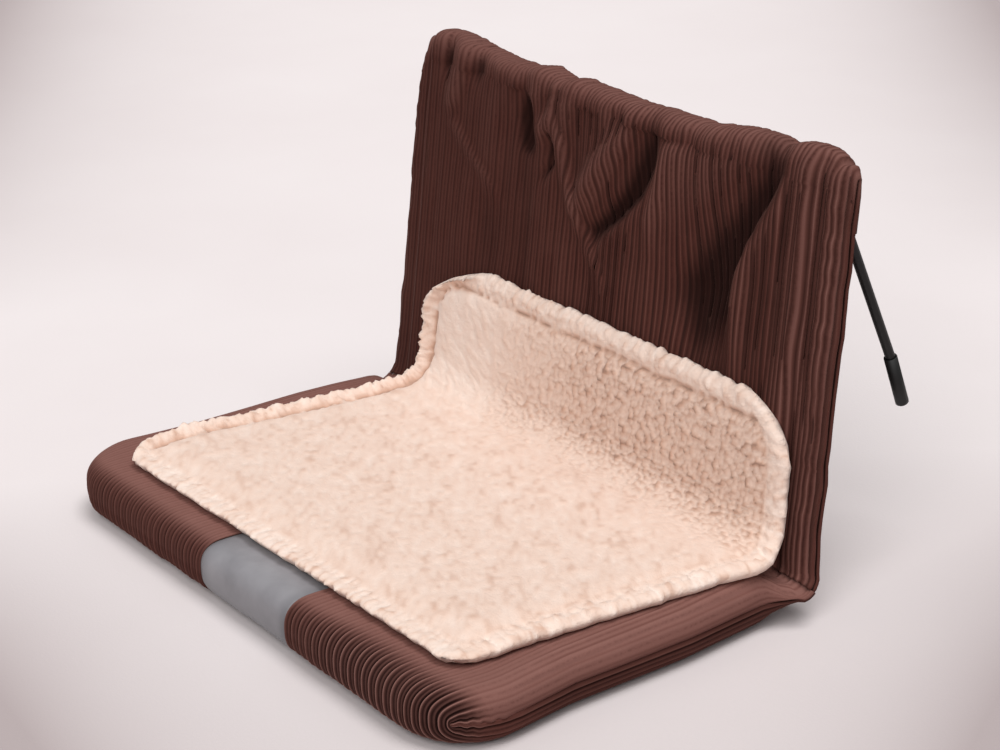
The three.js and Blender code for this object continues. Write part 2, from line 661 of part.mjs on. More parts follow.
function backCoverSolid() {
  const skin = new Skin();
  const [outer, inner] = [0, CLOTH].map((wall) => ({
    front: backRows(wall, true),
    rear: backRows(wall, false),
    top: topRows(wall),
  }));
  const outerFront = [...outer.front, ...outer.top];
  const innerFront = [...inner.front, ...inner.top];
  skin.grid(outerFront);
  skin.grid(innerFront, true);
  skin.grid(outer.rear, true);
  skin.grid(inner.rear);
  skin.wall(outer.front[0], inner.front[0], true);
  skin.wall(outer.rear[0], inner.rear[0]);
  skin.wall(outer.rear.at(-1), inner.rear.at(-1), true);
  skin.wall(outerFront.at(-1), innerFront.at(-1));
  const open = [outer.front.at(-1), ...outer.top];
  const openInner = [inner.front.at(-1), ...inner.top];
  skin.wall(column(open, 0), column(openInner, 0));
  skin.wall(column(open, -1), column(openInner, -1), true);
  return toSolid(skin.geometry());
}

// A cut through the flap, from below its hem up to where the hook's leg comes out
function hookSlot(x) {
  const low = BACK_LENGTH - FLAP_LENGTH - ROD;
  const high = BACK_LENGTH + SLOT_TOP;
  const near = REST_INNER + CLOTH + STRIP_GAP;
  const far = HOOK_INNER + 2 * ROD;
  const size = new THREE.Vector3(SLOT_WIDTH, far - near, high - low);
  return boxSolid(backPoint(x, (low + high) / 2, -(near + far) / 2), size, BACK_LEAN);
}

let backSolid = backCoverSolid();
for (const side of [-1, 1]) backSolid = backSolid.subtract(hookSlot(side * HOOK_X));
addPart("back_cover", toGeometry(backSolid), corduroy);

// Closure: a loop strip on the rear layer and a hook strip inside the flap
const stripSize = new THREE.Vector3(2 * (HOOK_X - STRIP_INSET), STRIP_THICKNESS, STRIP_WIDTH);
["closure_loop_strip", "closure_hook_strip"].forEach((name, i) => {
  const behind = REST_INNER + CLOTH + (i + 1) * STRIP_GAP + (i + 1 / 2) * STRIP_THICKNESS;
  const strip = boxSolid(backPoint(0, BACK_LENGTH - STRIP_DROP, -behind), stripSize, BACK_LEAN);
  addPart(name, toGeometry(strip), tape);
});

// Sherpa mat: its underside follows the seat, turns up in a bend, and leans on the back
const matLow = HALF_HEIGHT + GAP; // underside over the frame's line on the seat
const matAhead = HOOK_INNER + CLOTH + GAP; // and on the back
const matBendReach = MAT_BEND * Math.tan(TURN / 2);
const matCornerAlong = (matLow - matAhead * Math.sin(BACK_LEAN)) / Math.cos(BACK_LEAN);
const matCorner = backPoint(0, matCornerAlong, matAhead);
const matBendStart = matCorner.y - matBendReach - MAT_FRONT_Y;
const matBendLength = MAT_BEND * TURN;
const matBackLength = MAT_TOP - matCornerAlong - matBendReach;
const matLength = matBendStart + matBendLength + matBackLength;

// A point over the mat's underside, at a distance along the mat from its front edge
function matPoint(x, run, height) {
  if (run <= matBendStart) {
    return new THREE.Vector3(x, MAT_FRONT_Y + run, HALF_HEIGHT + matLow + height);
  }
  const angle = Math.min(TURN, (run - matBendStart) / MAT_BEND);
  const reach = MAT_BEND - height;
  const y = matCorner.y - matBendReach + reach * Math.sin(angle);
  const z = HALF_HEIGHT + matLow + MAT_BEND - reach * Math.cos(angle);
  const past = Math.max(0, run - matBendStart - matBendLength);
  return new THREE.Vector3(x, y, z).addScaledVector(ALONG, past);
}

const matEdge = (run, front, rear) => SEAT_WIDTH / 2 - mix(front, rear, smooth(0, matBendStart, run));

function matCornerIn(run, frontRadius, topWidth) {
  const near = clamp01(1 - run / frontRadius);
  const far = clamp01(1 - (matLength - run) / MAT_TOP_CORNER_HEIGHT);
  return frontRadius * (1 - Math.sqrt(1 - near ** 2)) + topWidth * (1 - Math.sqrt(1 - far ** 2));
}

function matSides(run) {
  const left = matEdge(run, MAT_FRONT_LEFT, MAT_REAR_LEFT);
  const right = matEdge(run, MAT_FRONT_RIGHT, MAT_REAR_RIGHT);
  return [matCornerIn(run, MAT_FRONT_CORNER_LEFT, MAT_TOP_CORNER_LEFT) - left,
    right - matCornerIn(run, MAT_FRONT_CORNER_RIGHT, MAT_TOP_CORNER_RIGHT)];
}

// Distance in from the mat's outline, and the two surfaces there
function matInset(x, run) {
  const [left, right] = matSides(run);
  return Math.min(run, matLength - run, x - left, right - x);
}

function matSurface(inset, upper) {
  const edge = MAT_EDGE / 2;
  if (!upper) return edge - rounded(inset, edge, edge);
  const rim = edge + rounded(inset, edge, edge);
  const groove = MAT_GROOVE * bell(inset - MAT_BORDER, MAT_GROOVE) * smooth(0, edge, inset);
  return rim + (MAT_THICKNESS - MAT_EDGE) * smooth(edge, 2 * MAT_BORDER, inset) - groove;
}

const matInsets = [0, MAT_EDGE / 8, MAT_EDGE / 2, MAT_EDGE, MAT_BORDER, MAT_BORDER * 1.4, MAT_BORDER * 2.2];
const matMiddleShares = [1 / 6, 2 / 6, 3 / 6, 4 / 6, 5 / 6];

function matGrid(upper) {
  const bendRows = [0, 1 / 4, 1 / 2, 3 / 4, 1].map((share) => matBendStart + share * matBendLength);
  const seatRuns = [1 / 4, 1 / 2, 3 / 4].map((share) => share * matBendStart);
  const runs = [...matInsets, ...seatRuns, ...bendRows, ...matInsets.map((v) => matLength - v).reverse()];
  return runs.map((run) => {
    const [left, right] = matSides(run);
    const near = matInsets.at(-1);
    const middle = matMiddleShares.map((share) => mix(left + near, right - near, share));
    const xs = [...matInsets.map((v) => left + v), ...middle, ...matInsets.map((v) => right - v).reverse()];
    return xs.map((x) => matPoint(x, run, matSurface(matInset(x, run), upper)));
  });
}

const matSkin = new Skin();
matSkin.grid(matGrid(true));
matSkin.grid(matGrid(false), true);
addPart("sherpa_mat", matSkin.geometry(), sherpa);

// The origin is the middle of the flat underside
group.position.y = -SEAT_DEPTH / 2;

export default group;
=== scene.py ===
import math

import bpy
import numpy as np
from mathutils import Matrix, Vector


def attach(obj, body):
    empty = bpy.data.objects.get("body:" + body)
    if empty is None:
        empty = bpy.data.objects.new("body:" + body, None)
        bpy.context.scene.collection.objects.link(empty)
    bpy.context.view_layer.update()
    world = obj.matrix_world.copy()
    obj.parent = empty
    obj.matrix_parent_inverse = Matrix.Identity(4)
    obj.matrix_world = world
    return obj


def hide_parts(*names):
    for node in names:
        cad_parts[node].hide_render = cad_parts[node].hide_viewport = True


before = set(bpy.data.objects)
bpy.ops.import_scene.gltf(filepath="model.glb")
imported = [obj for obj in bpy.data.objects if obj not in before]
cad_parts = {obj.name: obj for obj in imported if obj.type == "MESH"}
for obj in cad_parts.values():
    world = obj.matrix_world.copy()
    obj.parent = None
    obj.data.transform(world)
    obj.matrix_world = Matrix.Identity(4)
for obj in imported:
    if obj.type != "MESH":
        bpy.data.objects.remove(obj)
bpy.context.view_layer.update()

# Lengths are in millimetres, with y = 0 at the front face of the cover.
# placed() turns them into metres in the row frame.

# Seat
SEAT_WIDTH = 480
SEAT_DEPTH = 286
HALF_BAR = 20
HALF_HEIGHT = 19
BAR_ROUNDNESS = 2.6
CORNER = 50
CORNER_X = SEAT_WIDTH / 2 - CORNER
SIDE_IN = 6
SIDE_PINCH = 7.5
SIDE_PINCH_LENGTH = 85
SEAT_SAG = 5
CORNER_SQUEEZE = 2.5
CLOTH = 1.6
GAP = 0.4
FOAM_END_Y = 250
TAPER_START = FOAM_END_Y + GAP

# Rods, back, and the turn between seat and back
ROD = 7
FRAME_X = 218
HOOK_X = 193
REAR_BEND = 15
BACK_LENGTH = 265
BACK_LEAN = math.radians(8)
TURN = math.pi / 2 - BACK_LEAN
TANGENT = REAR_BEND * math.tan(TURN / 2)
BEND_Y = SEAT_DEPTH - TANGENT
HALF_BEND = REAR_BEND * TURN / 2
BACK_FOOT_X = 235
BACK_TOP_X = 231
ALONG = np.array([0, math.sin(BACK_LEAN), math.cos(BACK_LEAN)])
AHEAD = np.array([0, -math.cos(BACK_LEAN), math.sin(BACK_LEAN)])
REAR_CORNER = np.array([0, SEAT_DEPTH, HALF_HEIGHT])

# From the frame's plane to the inside of the cloth: at the frame rod, over the hook rods and in the flap
REST_INNER = 4.8
HOOK_INNER = 12.3
FLAP_INNER = 9.5

# Seams
SEAM_REACH = 14
SEAM_STRIP = 4.5
SEWN = 1.3
SLACK = 1.1
FLARE = 3.7
FLARE_SPAN = (-24, -2, 0, 28)

# Turn over the top bar, and the flap behind it
WRAP_ROWS = 19
WRAP_DROP = 6
WRAP_ROUNDNESS = 2.5
WRAP_SHOULDER = 3.4
FLAP_ROWS = 6
FLAP_LENGTH = 34
FLAP_HEM = 10
SLOT_WIDTH = 9.4
SLOT_TOP = 267
MOUTH = 257
ROD_CREST = 270.3
HOOK_CREST = 278.2
CROWN_ROUND = 1.4
CROWN_LOW = 268.4
TOP_CORNER_LEFT = (30, 55)
TOP_CORNER_RIGHT = (8, 12)

BAND_LEFT = -42
BAND_RIGHT = 65
BAND_TUCK = 46
BAND_THICKNESS = 1.2

# Mat. Pairs are for its left and right side.
MAT_THICKNESS = 13
MAT_EDGE = 10
MAT_BORDER = 14
MAT_GROOVE = 3.2
MAT_FRONT_Y = 26.5
MAT_FRONT = (44, 33)
MAT_REAR = (68, 20)
MAT_REAR_BULGE = 8
MAT_TOP = 119
MAT_BEND = 38
MAT_FRONT_CORNER = (20, 15)
MAT_FRONT_SKEW = (2, 6.5)
MAT_TOP_CORNER = (75, 44)
MAT_TOP_CORNER_HEIGHT = 42
PILE_STEP = 1.6
CURL = 4.6
KNOT = 4.6
TUFT = 6.2
TUFT_OUT = 4.0

WALE = 8  # pitch of the corduroy's double ribs
# One double rib: places across it, and the pile's height there, with a deep valley and a shallow one
RIB = [(0.0, 0.0), (0.8, 0.78), (1.6, 1.0), (2.8, 0.84), (4.0, 0.68), (5.2, 0.82), (6.4, 0.88), (7.3, 0.6)]
MIDDLE_CREST = 0.78  # a height whose colour stands for cloth without clear ribs


def clamp01(v):
    return np.clip(v, 0, 1)


def mix(a, b, t):
    return a + (b - a) * t


def ramp(a, b, v):
    return clamp01((v - a) / (b - a))


def smooth(a, b, v):
    t = ramp(a, b, v)
    return t * t * (3 - 2 * t)


def bell(v, width):
    return np.exp(-((v / width) ** 2))


def rounded(inset, reach, height, roundness=2):
    """Height of a rounded edge, at a distance in from it."""
    return height * (1 - (1 - clamp01(inset / reach)) ** roundness) ** (1 / roundness)


def noise(x, y, seed):
    """Smooth random values from -1 to 1 over a plane, with cells one unit wide."""
    size = 256
    table = np.random.default_rng(seed).uniform(-1, 1, (size, size))
    x, y = np.broadcast_arrays(np.asarray(x, float), np.asarray(y, float))
    i, j = np.floor(x).astype(int), np.floor(y).astype(int)
    fx, fy = x - i, y - j
    fx, fy = fx * fx * (3 - 2 * fx), fy * fy * (3 - 2 * fy)
    left, right, low, high = i % size, (i + 1) % size, j % size, (j + 1) % size
    near = mix(table[left, low], table[right, low], fx)
    return mix(near, mix(table[left, high], table[right, high], fx), fy)


def waves(x, y, sizes, seed=0):
    """A sum of noises. Each has a height, the width and length of its cells, and a seed."""
    return sum(height * noise(x / wide, y / long, seed + own) for height, wide, long, own in sizes)


def plateau(v, rise, full, fade, end):
    return smooth(rise, full, v) * (1 - smooth(fade, end, v))


def ridges(v, lines):
    """Ridges, or grooves where the height is negative. Each has a place, a height and a width."""
    return sum(height * bell(v - at, width) for at, height, width in lines)


def cells(x, y, seed):
    """Distance to the nearest of a set of scattered points, one in each unit cell."""
    size = 64
    table = np.random.default_rng(seed).uniform(0.1, 0.9, (size, size, 2))
    i, j = np.floor(x).astype(int), np.floor(y).astype(int)
    best = np.full(x.shape, np.inf)
    for di in (-1, 0, 1):
        for dj in (-1, 0, 1):
            spot = table[(i + di) % size, (j + dj) % size]
            dx, dy = i + di + spot[..., 0] - x, j + dj + spot[..., 1] - y
            best = np.minimum(best, dx * dx + dy * dy)
    return np.sqrt(best)


def stack(x, y, z):
    return np.stack(np.broadcast_arrays(x, y, z), -1).astype(float)


def placed(points):
    """Millimetres from the front of the cover, as metres in the row frame."""
    return (points - np.array([0, SEAT_DEPTH / 2, 0])) / 1000


def normals(grid):
    """Outward directions of a grid of points."""
    down, across = np.gradient(grid, axis=0), np.gradient(grid, axis=1)
    n = np.cross(down, across)
    return n / np.maximum(np.linalg.norm(n, axis=-1, keepdims=True), 1e-9)


def quads_of(rows, columns, keep=None, flip=False):
    index = np.arange(rows * columns).reshape(rows, columns)
    corners = [index[:-1, :-1], index[1:, :-1], index[1:, 1:], index[:-1, 1:]]
    if flip:
        corners.reverse()
    quads = np.stack(corners, -1)
    return quads[keep] if keep is not None else quads.reshape(-1, 4)


def welded(points, faces, values):
    """Joins points that lie on each other, and drops faces that close up."""
    _, first, back = np.unique(np.round(points, 3), axis=0, return_index=True, return_inverse=True)
    back = back.ravel().tolist()
    joined = []
    for face in faces:
        face = [back[corner] for corner in face]
        face = [v for k, v in enumerate(face) if v != face[k - 1]]
        if len(set(face)) > 2 and len(set(face)) == len(face):
            joined.append(face)
    used = np.unique([corner for face in joined for corner in face])
    place = dict(zip(used.tolist(), range(len(used))))
    picked = first[used]
    faces = [[place[v] for v in face] for face in joined]
    return points[picked], faces, {key: value[picked] for key, value in values.items()}


def added(name, data):
    obj = bpy.data.objects.new(name, data)
    bpy.context.scene.collection.objects.link(obj)
    return obj


def piece(name, points, faces, body, slot, values=None):
    """A mesh piece from points in millimetres. The values are kept for its material."""
    values = {k: np.asarray(v, float).reshape(-1) for k, v in (values or {}).items()}
    faces = faces.tolist() if isinstance(faces, np.ndarray) else faces
    points, faces, values = welded(points.reshape(-1, 3), faces, values)
    mesh = bpy.data.meshes.new(name)
    mesh.from_pydata(placed(points).tolist(), [], faces)
    mesh.validate()
    for key, value in values.items():
        mesh.attributes.new(key, "FLOAT", "POINT").data.foreach_set("value", value.astype(np.float32))
    mesh.polygons.foreach_set("use_smooth", [True] * len(mesh.polygons))
    obj = added(name, mesh)
    mesh.materials.append(MATERIALS[slot])
    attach(obj, body)
    return obj


def thickened(obj, thickness):
    shell = obj.modifiers.new("cloth thickness", "SOLIDIFY")
    shell.thickness = thickness / 1000
    shell.offset = -1
    return obj


# Materials

class Nodes:
    """Short calls for building one material."""

    def __init__(self, name):
        self.material = bpy.data.materials.new(name)
        self.material.use_nodes = True
        self.tree = self.material.node_tree
        self.shader = self.tree.nodes["Principled BSDF"]

    def add(self, kind, **settings):
        node = self.tree.nodes.new(kind)
        for key, value in settings.items():
            if key in node.inputs:
                node.inputs[key].default_value = value
            else:
                setattr(node, key, value)
        return node

    def feed(self, socket, value):
        """Gives a socket a number, a colour or what another socket puts out."""
        if isinstance(value, (int, float)):
            socket.default_value = value
        elif isinstance(value, tuple):
            socket.default_value = (*linear(value), 1)
        else:
            self.tree.links.new(value, socket)

    def math(self, operation, a, b=0.0, clamp=False):
        node = self.add("ShaderNodeMath", operation=operation, use_clamp=clamp)
        self.feed(node.inputs[0], a)
        self.feed(node.inputs[1], b)
        return node.outputs[0]

    def value(self, key):
        return self.add("ShaderNodeAttribute", attribute_name=key).outputs["Fac"]

    def place(self, turn=0.0, shift=(0.0, 0.0)):
        """The object's own coordinates, on axes turned about the vertical and moved."""
        node = self.add("ShaderNodeMapping", vector_type="TEXTURE", Location=(*shift, 0))
        node.inputs["Rotation"].default_value = (0, 0, turn)
        self.feed(node.inputs["Vector"], self.add("ShaderNodeTexCoord").outputs["Object"])
        return node.outputs[0]

    def noise(self, size, detail, rough=0.55):
        """Noise whose cells are this many millimetres wide."""
        node = self.add("ShaderNodeTexNoise", Scale=1000 / size, Detail=detail, Roughness=rough)
        self.feed(node.inputs["Vector"], self.place())
        return node.outputs["Fac"]

    def ramp(self, value, stops):
        node = self.add("ShaderNodeValToRGB")
        elements = node.color_ramp.elements
        while len(elements) < len(stops):
            elements.new(0.5)
        for element, (position, colour) in zip(elements, stops):
            element.position = position
            element.color = (*linear(colour), 1)
        self.feed(node.inputs["Fac"], value)
        return node.outputs["Color"]

    def blend(self, share, a, b):
        node = self.add("ShaderNodeMix", data_type="RGBA")
        for index, value in ((0, share), (6, a), (7, b)):
            self.feed(node.inputs[index], value)
        return node.outputs[2]

    def bump(self, height, distance, strength):
        """Adds a bump of this many millimetres to what the shader has."""
        node = self.add("ShaderNodeBump", Distance=distance / 1000, Strength=strength)
        self.feed(node.inputs["Height"], height)
        normal = self.shader.inputs["Normal"]
        if normal.links:
            self.feed(node.inputs["Normal"], normal.links[0].from_socket)
        self.feed(normal, node.outputs[0])

    def set(self, **values):
        for key, value in values.items():
            self.feed(self.shader.inputs[key.replace("_", " ")], value)


def linear(colour):
    """A colour written as 0 to 255, as the renderer's own numbers."""
    shares = [c / 255 for c in colour]
    return tuple(c / 12.92 if c <= 0.04045 else ((c + 0.055) / 1.055) ** 2.4 for c in shares)


# Colours from the foot of a rib to its crest, where the pile is full and where it is worn and has painted
# light
# The dark foot of each ramp is painted shade in the valleys between ribs, and its light crest a painted
# highlight.
FULL_RIB = [(0.0, (18, 6, 4)), (0.4, (46, 20, 16)), (0.75, (80, 43, 37)), (0.9, (92, 54, 47)),
            (1.0, (114, 76, 68))]
WORN_AND_LIT_RIB = [(0.0, (58, 28, 23)), (0.45, (104, 66, 59)), (0.75, (138, 97, 89)), (1.0, (160, 119, 110))]
# Dark broken dots along the shallow valleys: partly the ground weave showing, partly painted shade in the
# valleys.
RIB_DOTS = [(0.42, (0, 0, 0)), (0.62, (255, 255, 255))]
DOT_COLOUR = (40, 14, 10)
PATCH_COLOUR = (108, 70, 62)
FIBRE_COLOUR = (66, 34, 29)
# Colour of painted shade in folds, rib valleys and underneath
PAINTED_SHADE_COLOUR = (24, 7, 5)
CORDUROY_SHEEN = (200, 140, 126)
BAND_COLOURS = [(0.3, (124, 122, 126)), (0.7, (148, 146, 150))]
BAND_SHADE = (92, 91, 95)
# Colours of the fleece from deep in the pile to its tips; the darker tan deep in the pile is painted shade
# between tufts and curls
PILE_COLOURS = [(0.0, (126, 86, 68)), (0.22, (204, 164, 142)), (0.5, (236, 209, 193)), (1.0, (251, 235, 224))]
WARM_PILE = (240, 211, 194)
STRAND_COLOUR = (216, 178, 156)
# Plain materials: cells and detail of the noise, colours, roughness and what the noise adds to it,
# then cells, height and strength of the bumps
PLAIN = {
    "foam": (1.1, 2, [(0.3, (52, 54, 58)), (0.6, (84, 87, 91))], 0.95, 0, 1.1, 0.5, 0.8),
    "coated_steel": (22, 4, [(0.3, (8, 8, 9)), (0.7, (17, 16, 16))], 0.36, 0.2, 1.2, 0.05, 0.5),
    "tip_vinyl": (9, 3, [(0.3, (6, 6, 6)), (0.7, (13, 12, 12))], 0.55, 0, 0.6, 0.05, 0.6),
    "closure_tape": (0.8, 2, [(0.3, (28, 16, 14)), (0.7, (58, 38, 34))], 0.9, 0, 0.8, 0.4, 0.9),
}


def corduroy_material():
    n = Nodes("corduroy")
    crest = n.value("crest")
    dots = n.ramp(n.noise(2.6, 1), RIB_DOTS)
    fibre = n.noise(0.6, 2)
    patch = n.noise(26, 3)
    # This mix lightens the ribs where the cloth is worn, and with painted light on the lit tops, the turn
    # over the top bar, the back's right strip and fold ridges, plus painted highlights on the front crests.
    base = n.blend(n.value("worn_and_lit"), n.ramp(crest, FULL_RIB), n.ramp(crest, WORN_AND_LIT_RIB))
    # Dark dots along the shallow valleys, partly painted shade in them.
    dotted = n.blend(n.math("MULTIPLY", n.value("shallow"), n.math("MULTIPLY", dots, 0.6)), base, DOT_COLOUR)
    patched = n.blend(n.math("MULTIPLY", patch, 0.35), dotted, PATCH_COLOUR)
    fibrous = n.blend(n.math("MULTIPLY", fibre, 0.3), patched, FIBRE_COLOUR)
    # Painted shade: darkens the back's folds, the valleys between ribs on the front faces, and the underside.
    colour = n.blend(n.value("painted_shade"), fibrous, PAINTED_SHADE_COLOUR)
    n.set(Base_Color=colour, Roughness=0.95, Specular_IOR_Level=0.12)
    n.set(Sheen_Weight=0.12, Sheen_Roughness=0.4, Sheen_Tint=CORDUROY_SHEEN)
    n.bump(n.noise(1.9, 3), 0.35, 0.5)
    n.bump(fibre, 0.25, 0.7)
    return n.material


def band_material():
    n = Nodes("grey_band")
    colour = n.blend(n.value("shade"), n.ramp(n.noise(34, 3), BAND_COLOURS), BAND_SHADE)
    n.set(Base_Color=colour, Roughness=0.46, Sheen_Weight=0.1, Specular_IOR_Level=0.4)
    n.bump(n.noise(0.7, 2), 0.05, 0.5)
    n.bump(n.noise(9, 2), 0.5, 0.25)
    return n.material


def fleece_material():
    n = Nodes("sherpa")
    cloud = n.noise(28, 3)
    strand = n.noise(1.3, 4, rough=0.7)
    warm = n.blend(n.math("MULTIPLY", cloud, 0.3), n.ramp(n.value("pile"), PILE_COLOURS), WARM_PILE)
    colour = n.blend(n.math("MULTIPLY", strand, 0.22), warm, STRAND_COLOUR)
    n.set(Base_Color=colour, Roughness=1.0, Specular_IOR_Level=0.1, Sheen_Weight=0.25, Sheen_Roughness=0.5)
    n.bump(n.noise(2.3, 4), 0.9, 0.6)
    n.bump(strand, 0.6, 0.8)
    return n.material


def plain_material(name, size, detail, colours, rough, rougher, grain, height, strength):
    n = Nodes(name)
    cloud = n.noise(size, detail)
    if rougher:
        rough = n.math("ADD", n.math("MULTIPLY", cloud, rougher), rough)
    n.set(Base_Color=n.ramp(cloud, colours), Roughness=rough)
    n.bump(n.noise(grain, 2), height, strength)
    return n.material


MATERIALS = {"corduroy": corduroy_material(), "grey_band": band_material(), "sherpa": fleece_material()}
MATERIALS.update({name: plain_material(name, *settings) for name, settings in PLAIN.items()})


# Corduroy

RIB_MARGIN = 0.4
RIB_DRIFT = [(1.3, 45, 80, 0), (0.35, 12, 30, 1)]
RIB_PARTING = [(0.35, WALE, 40, 0), (0.25, 50, 50, 1)]


def rib_columns(half):
    """Places across the cloth from -half to half, and the pile's height at each."""
    whole = int(half / WALE) + 1
    found = [(k * WALE + at, high) for k in range(-whole, whole + 1) for at, high in RIB]
    found = [(at, high) for at, high in found if abs(at) < half - RIB_MARGIN]
    u = np.array([-half] + [at for at, _ in found] + [half])
    return u, np.array([0.0] + [high for _, high in found] + [0.0])


def shallow(u):
    """1 at the shallow valley in the middle of each double rib, 0 elsewhere."""
    return np.where(np.isclose(u % WALE, WALE / 2), 1.0, 0.0)


def rib_drift(u, along, seed):
    """How far the ribs wander sideways."""
    return waves(u, along, RIB_DRIFT, seed)


def rib_depth(u, along, seed):
    return 1 + waves(u, along, RIB_PARTING, seed)


# Seat section of the cover

def bar_half_width(y):
    pinch = ramp(BEND_Y - SIDE_PINCH_LENGTH, BEND_Y, y)
    return SEAT_WIDTH / 2 - SIDE_IN * ramp(CORNER, 2 * CORNER, y) - SIDE_PINCH * pinch


def seat_half_width(y):
    return mix(bar_half_width(y), BACK_FOOT_X, smooth(TAPER_START, BEND_Y, y))


def section(steps):
    """Points round a quarter of the padded bar's section: distance in, and the length along it up to each."""
    angle = np.linspace(0, math.pi / 2, steps)
    inset = HALF_BAR * (1 - np.cos(angle).clip(0, 1) ** (2 / BAR_ROUNDNESS))
    height = HALF_HEIGHT * np.sin(angle) ** (2 / BAR_ROUNDNESS)
    length = np.concatenate([[0], np.cumsum(np.hypot(np.diff(inset), np.diff(height)))])
    return inset, length


QUARTER_INSET, QUARTER_LENGTH = section(2000)
QUARTER = QUARTER_LENGTH[-1]
SEAT_HALF_CLOTH = CORNER_X + CORNER - HALF_BAR + QUARTER


def inset_at(cloth):
    on_bar = np.interp(cloth, QUARTER_LENGTH, QUARTER_INSET)
    return np.where(cloth < QUARTER, on_bar, cloth - QUARTER + HALF_BAR)


def flared(x, past):
    """The cover's side edges stand out a little where the seat turns into the back."""
    out = FLARE * plateau(past, *FLARE_SPAN)
    return x + np.sign(x) * out * smooth(BACK_FOOT_X - CORNER, BACK_FOOT_X, np.abs(x))


BUNCHED_LEFT = 0.8
BUNCHED_RIGHT = 2.4
BUNCHED_REACH = 24
BUNCHED_SPAN = (194, 206, 226, 234)


def bunched(x, past):
    """Gathers of loose cloth in the inner rear corners."""
    size = np.where(x < 0, BUNCHED_LEFT, BUNCHED_RIGHT) * plateau(np.abs(x), *BUNCHED_SPAN)
    return size * (noise(np.abs(x) / 4.2, past / 40, 51) - 0.2) * bell(past, BUNCHED_REACH)


def seat_point(u, cloth_ahead, upper):
    """A point of the seat cloth, u across from the middle and cloth_ahead from the front, along the cloth."""
    side = np.sign(u)
    i = inset_at(np.maximum(SEAT_HALF_CLOTH - np.abs(u), 0))
    y = inset_at(cloth_ahead)
    a = clamp01(1 - i / CORNER)
    b = clamp01(1 - y / CORNER)
    half = seat_half_width(y)
    beside = np.where(i < CORNER, half - i, np.abs(u) * (half - CORNER) / CORNER_X)
    x = np.where(b > 0, np.where(a > 0, CORNER_X + CORNER * a * np.sqrt(1 - b * b / 2), np.abs(u)), beside)
    y_in = np.where(b > 0, CORNER - CORNER * b * np.sqrt(1 - a * a / 2), y)
    in_corner = CORNER * (1 - np.sqrt(clamp01(1 - (1 - a * a) * (1 - b * b))))
    inset = np.where((a > 0) & (b > 0), in_corner, np.minimum(y_in, half - x))
    bar = rounded(inset, HALF_BAR, HALF_HEIGHT, BAR_ROUNDNESS)
    sag = np.where(upper, SEAT_SAG * smooth(HALF_BAR, 2 * CORNER, inset), 0)
    past = y_in - BEND_Y - HALF_BEND
    rear = back_lift(x, half - x, 0, upper) + np.where(upper, bunched(side * x, past), 0)
    height = mix(bar - sag, rear, smooth(TAPER_START, BEND_Y, y_in))
    return stack(flared(side * x, past), y_in, HALF_HEIGHT + np.where(upper, height, -height))


def front_stand_off(x):
    return mix(REST_INNER, HOOK_INNER, smooth(FRAME_X - ROD, HOOK_X + ROD / 2 + CLOTH, np.abs(x)))


def parted(inset, reach=SEAM_REACH):
    """0 on the flat strip where the layers are sewn together, rising to 1 where they are fully apart."""
    return rounded(np.maximum(inset - SEAM_STRIP, 0), reach - SEAM_STRIP, 1)


def back_lift(x, inset, along, front):
    """Height of a layer of the back over the frame's plane."""
    stand_off = np.where(front, front_stand_off(x), REST_INNER)
    loose = 1 - (stand_off - REST_INNER) / (HOOK_INNER - REST_INNER)
    slack = SLACK * loose * (1 - smooth(0, SEAM_REACH * 3, along))
    return SEWN + (stand_off + slack + CLOTH - SEWN) * parted(inset)


BAR_ROWS = 15
SEAT_TURN_ROWS = 5


def seat_rows():
    """Lengths of cloth from the front to each row, for the upper and the lower half."""
    flat = BEND_Y - HALF_BAR + QUARTER
    bar = np.linspace(0, QUARTER, BAR_ROWS)
    upper = np.concatenate([bar, np.linspace(QUARTER + 3, flat, 43)])
    lower = np.concatenate([bar, np.linspace(QUARTER + 6, flat, 25)])
    return upper, lower


def turn_rows(x, angles, front):
    """Rows of one layer round the turn from the seat into the back."""
    rows = []
    for angle in angles:
        past = REAR_BEND * angle - HALF_BEND
        height = back_lift(np.abs(x), BACK_FOOT_X - np.abs(x), 0, front)
        height = height + np.where(front, bunched(x, past), 0)
        reach = REAR_BEND - np.where(front, height, -height)
        y = BEND_Y + reach * math.sin(angle)
        z = HALF_HEIGHT + REAR_BEND - reach * math.cos(angle)
        rows.append(stack(flared(x, past), y, z))
    return np.array(rows)


SQUEEZE_Y = 10
SQUEEZE_REACH = 26
SQUEEZE_SPAN = (195, 238)


def squeezed(grid, amount):
    """The left front corner is drawn in a little."""
    near = bell(grid[..., 1] - SQUEEZE_Y, SQUEEZE_REACH) * smooth(*SQUEEZE_SPAN, -grid[..., 0])
    return grid + stack(amount * near, 0, 0)


GATHER_PITCH = 7.5
GATHER_REACH = 9
GATHER_RIGHT = 2.6
GATHER_LEFT = 0.5
GATHER_LEFT_SINK = 1.4
GATHER_TURN = (-0.25, 0.05, 0.75, 0.9)  # angles round the corner


def corner_gathers(grid, u):
    """Zigzag gathers where the ribs run into the seam round the front corners."""
    turn = np.arctan2(CORNER - grid[..., 1], np.abs(grid[..., 0]) - CORNER_X)
    zigzag = 2 * np.abs((turn * CORNER / GATHER_PITCH) % 1 - 0.5) - 0.5
    gathered = np.where(u > 0, GATHER_RIGHT * zigzag, GATHER_LEFT * zigzag - GATHER_LEFT_SINK)
    return gathered * bell(SEAT_HALF_CLOTH - np.abs(u), GATHER_REACH) * plateau(turn, *GATHER_TURN)


# Ridges and grooves beside the side seam, by their distance from it
SEAM_LINES = [(0, -1.3, 1.7), (4.2, 0.7, 2.0)]
SIDE_CREASE = [(14.3, -1.1, 1.3)]
PIPING = [(1.6, 1.0, 1.0), (4.0, -1.0, 1.2)]
PIPING_START = (232, 262)
PINCH = (-214, 8, 12)
PINCH_DEPTH = 4.0
PINCH_REACH = 6
FRONT_RIPPLE = 0.55
SEAT_LUMPS = 0.5
HIGHEST_FOLD = 0.9


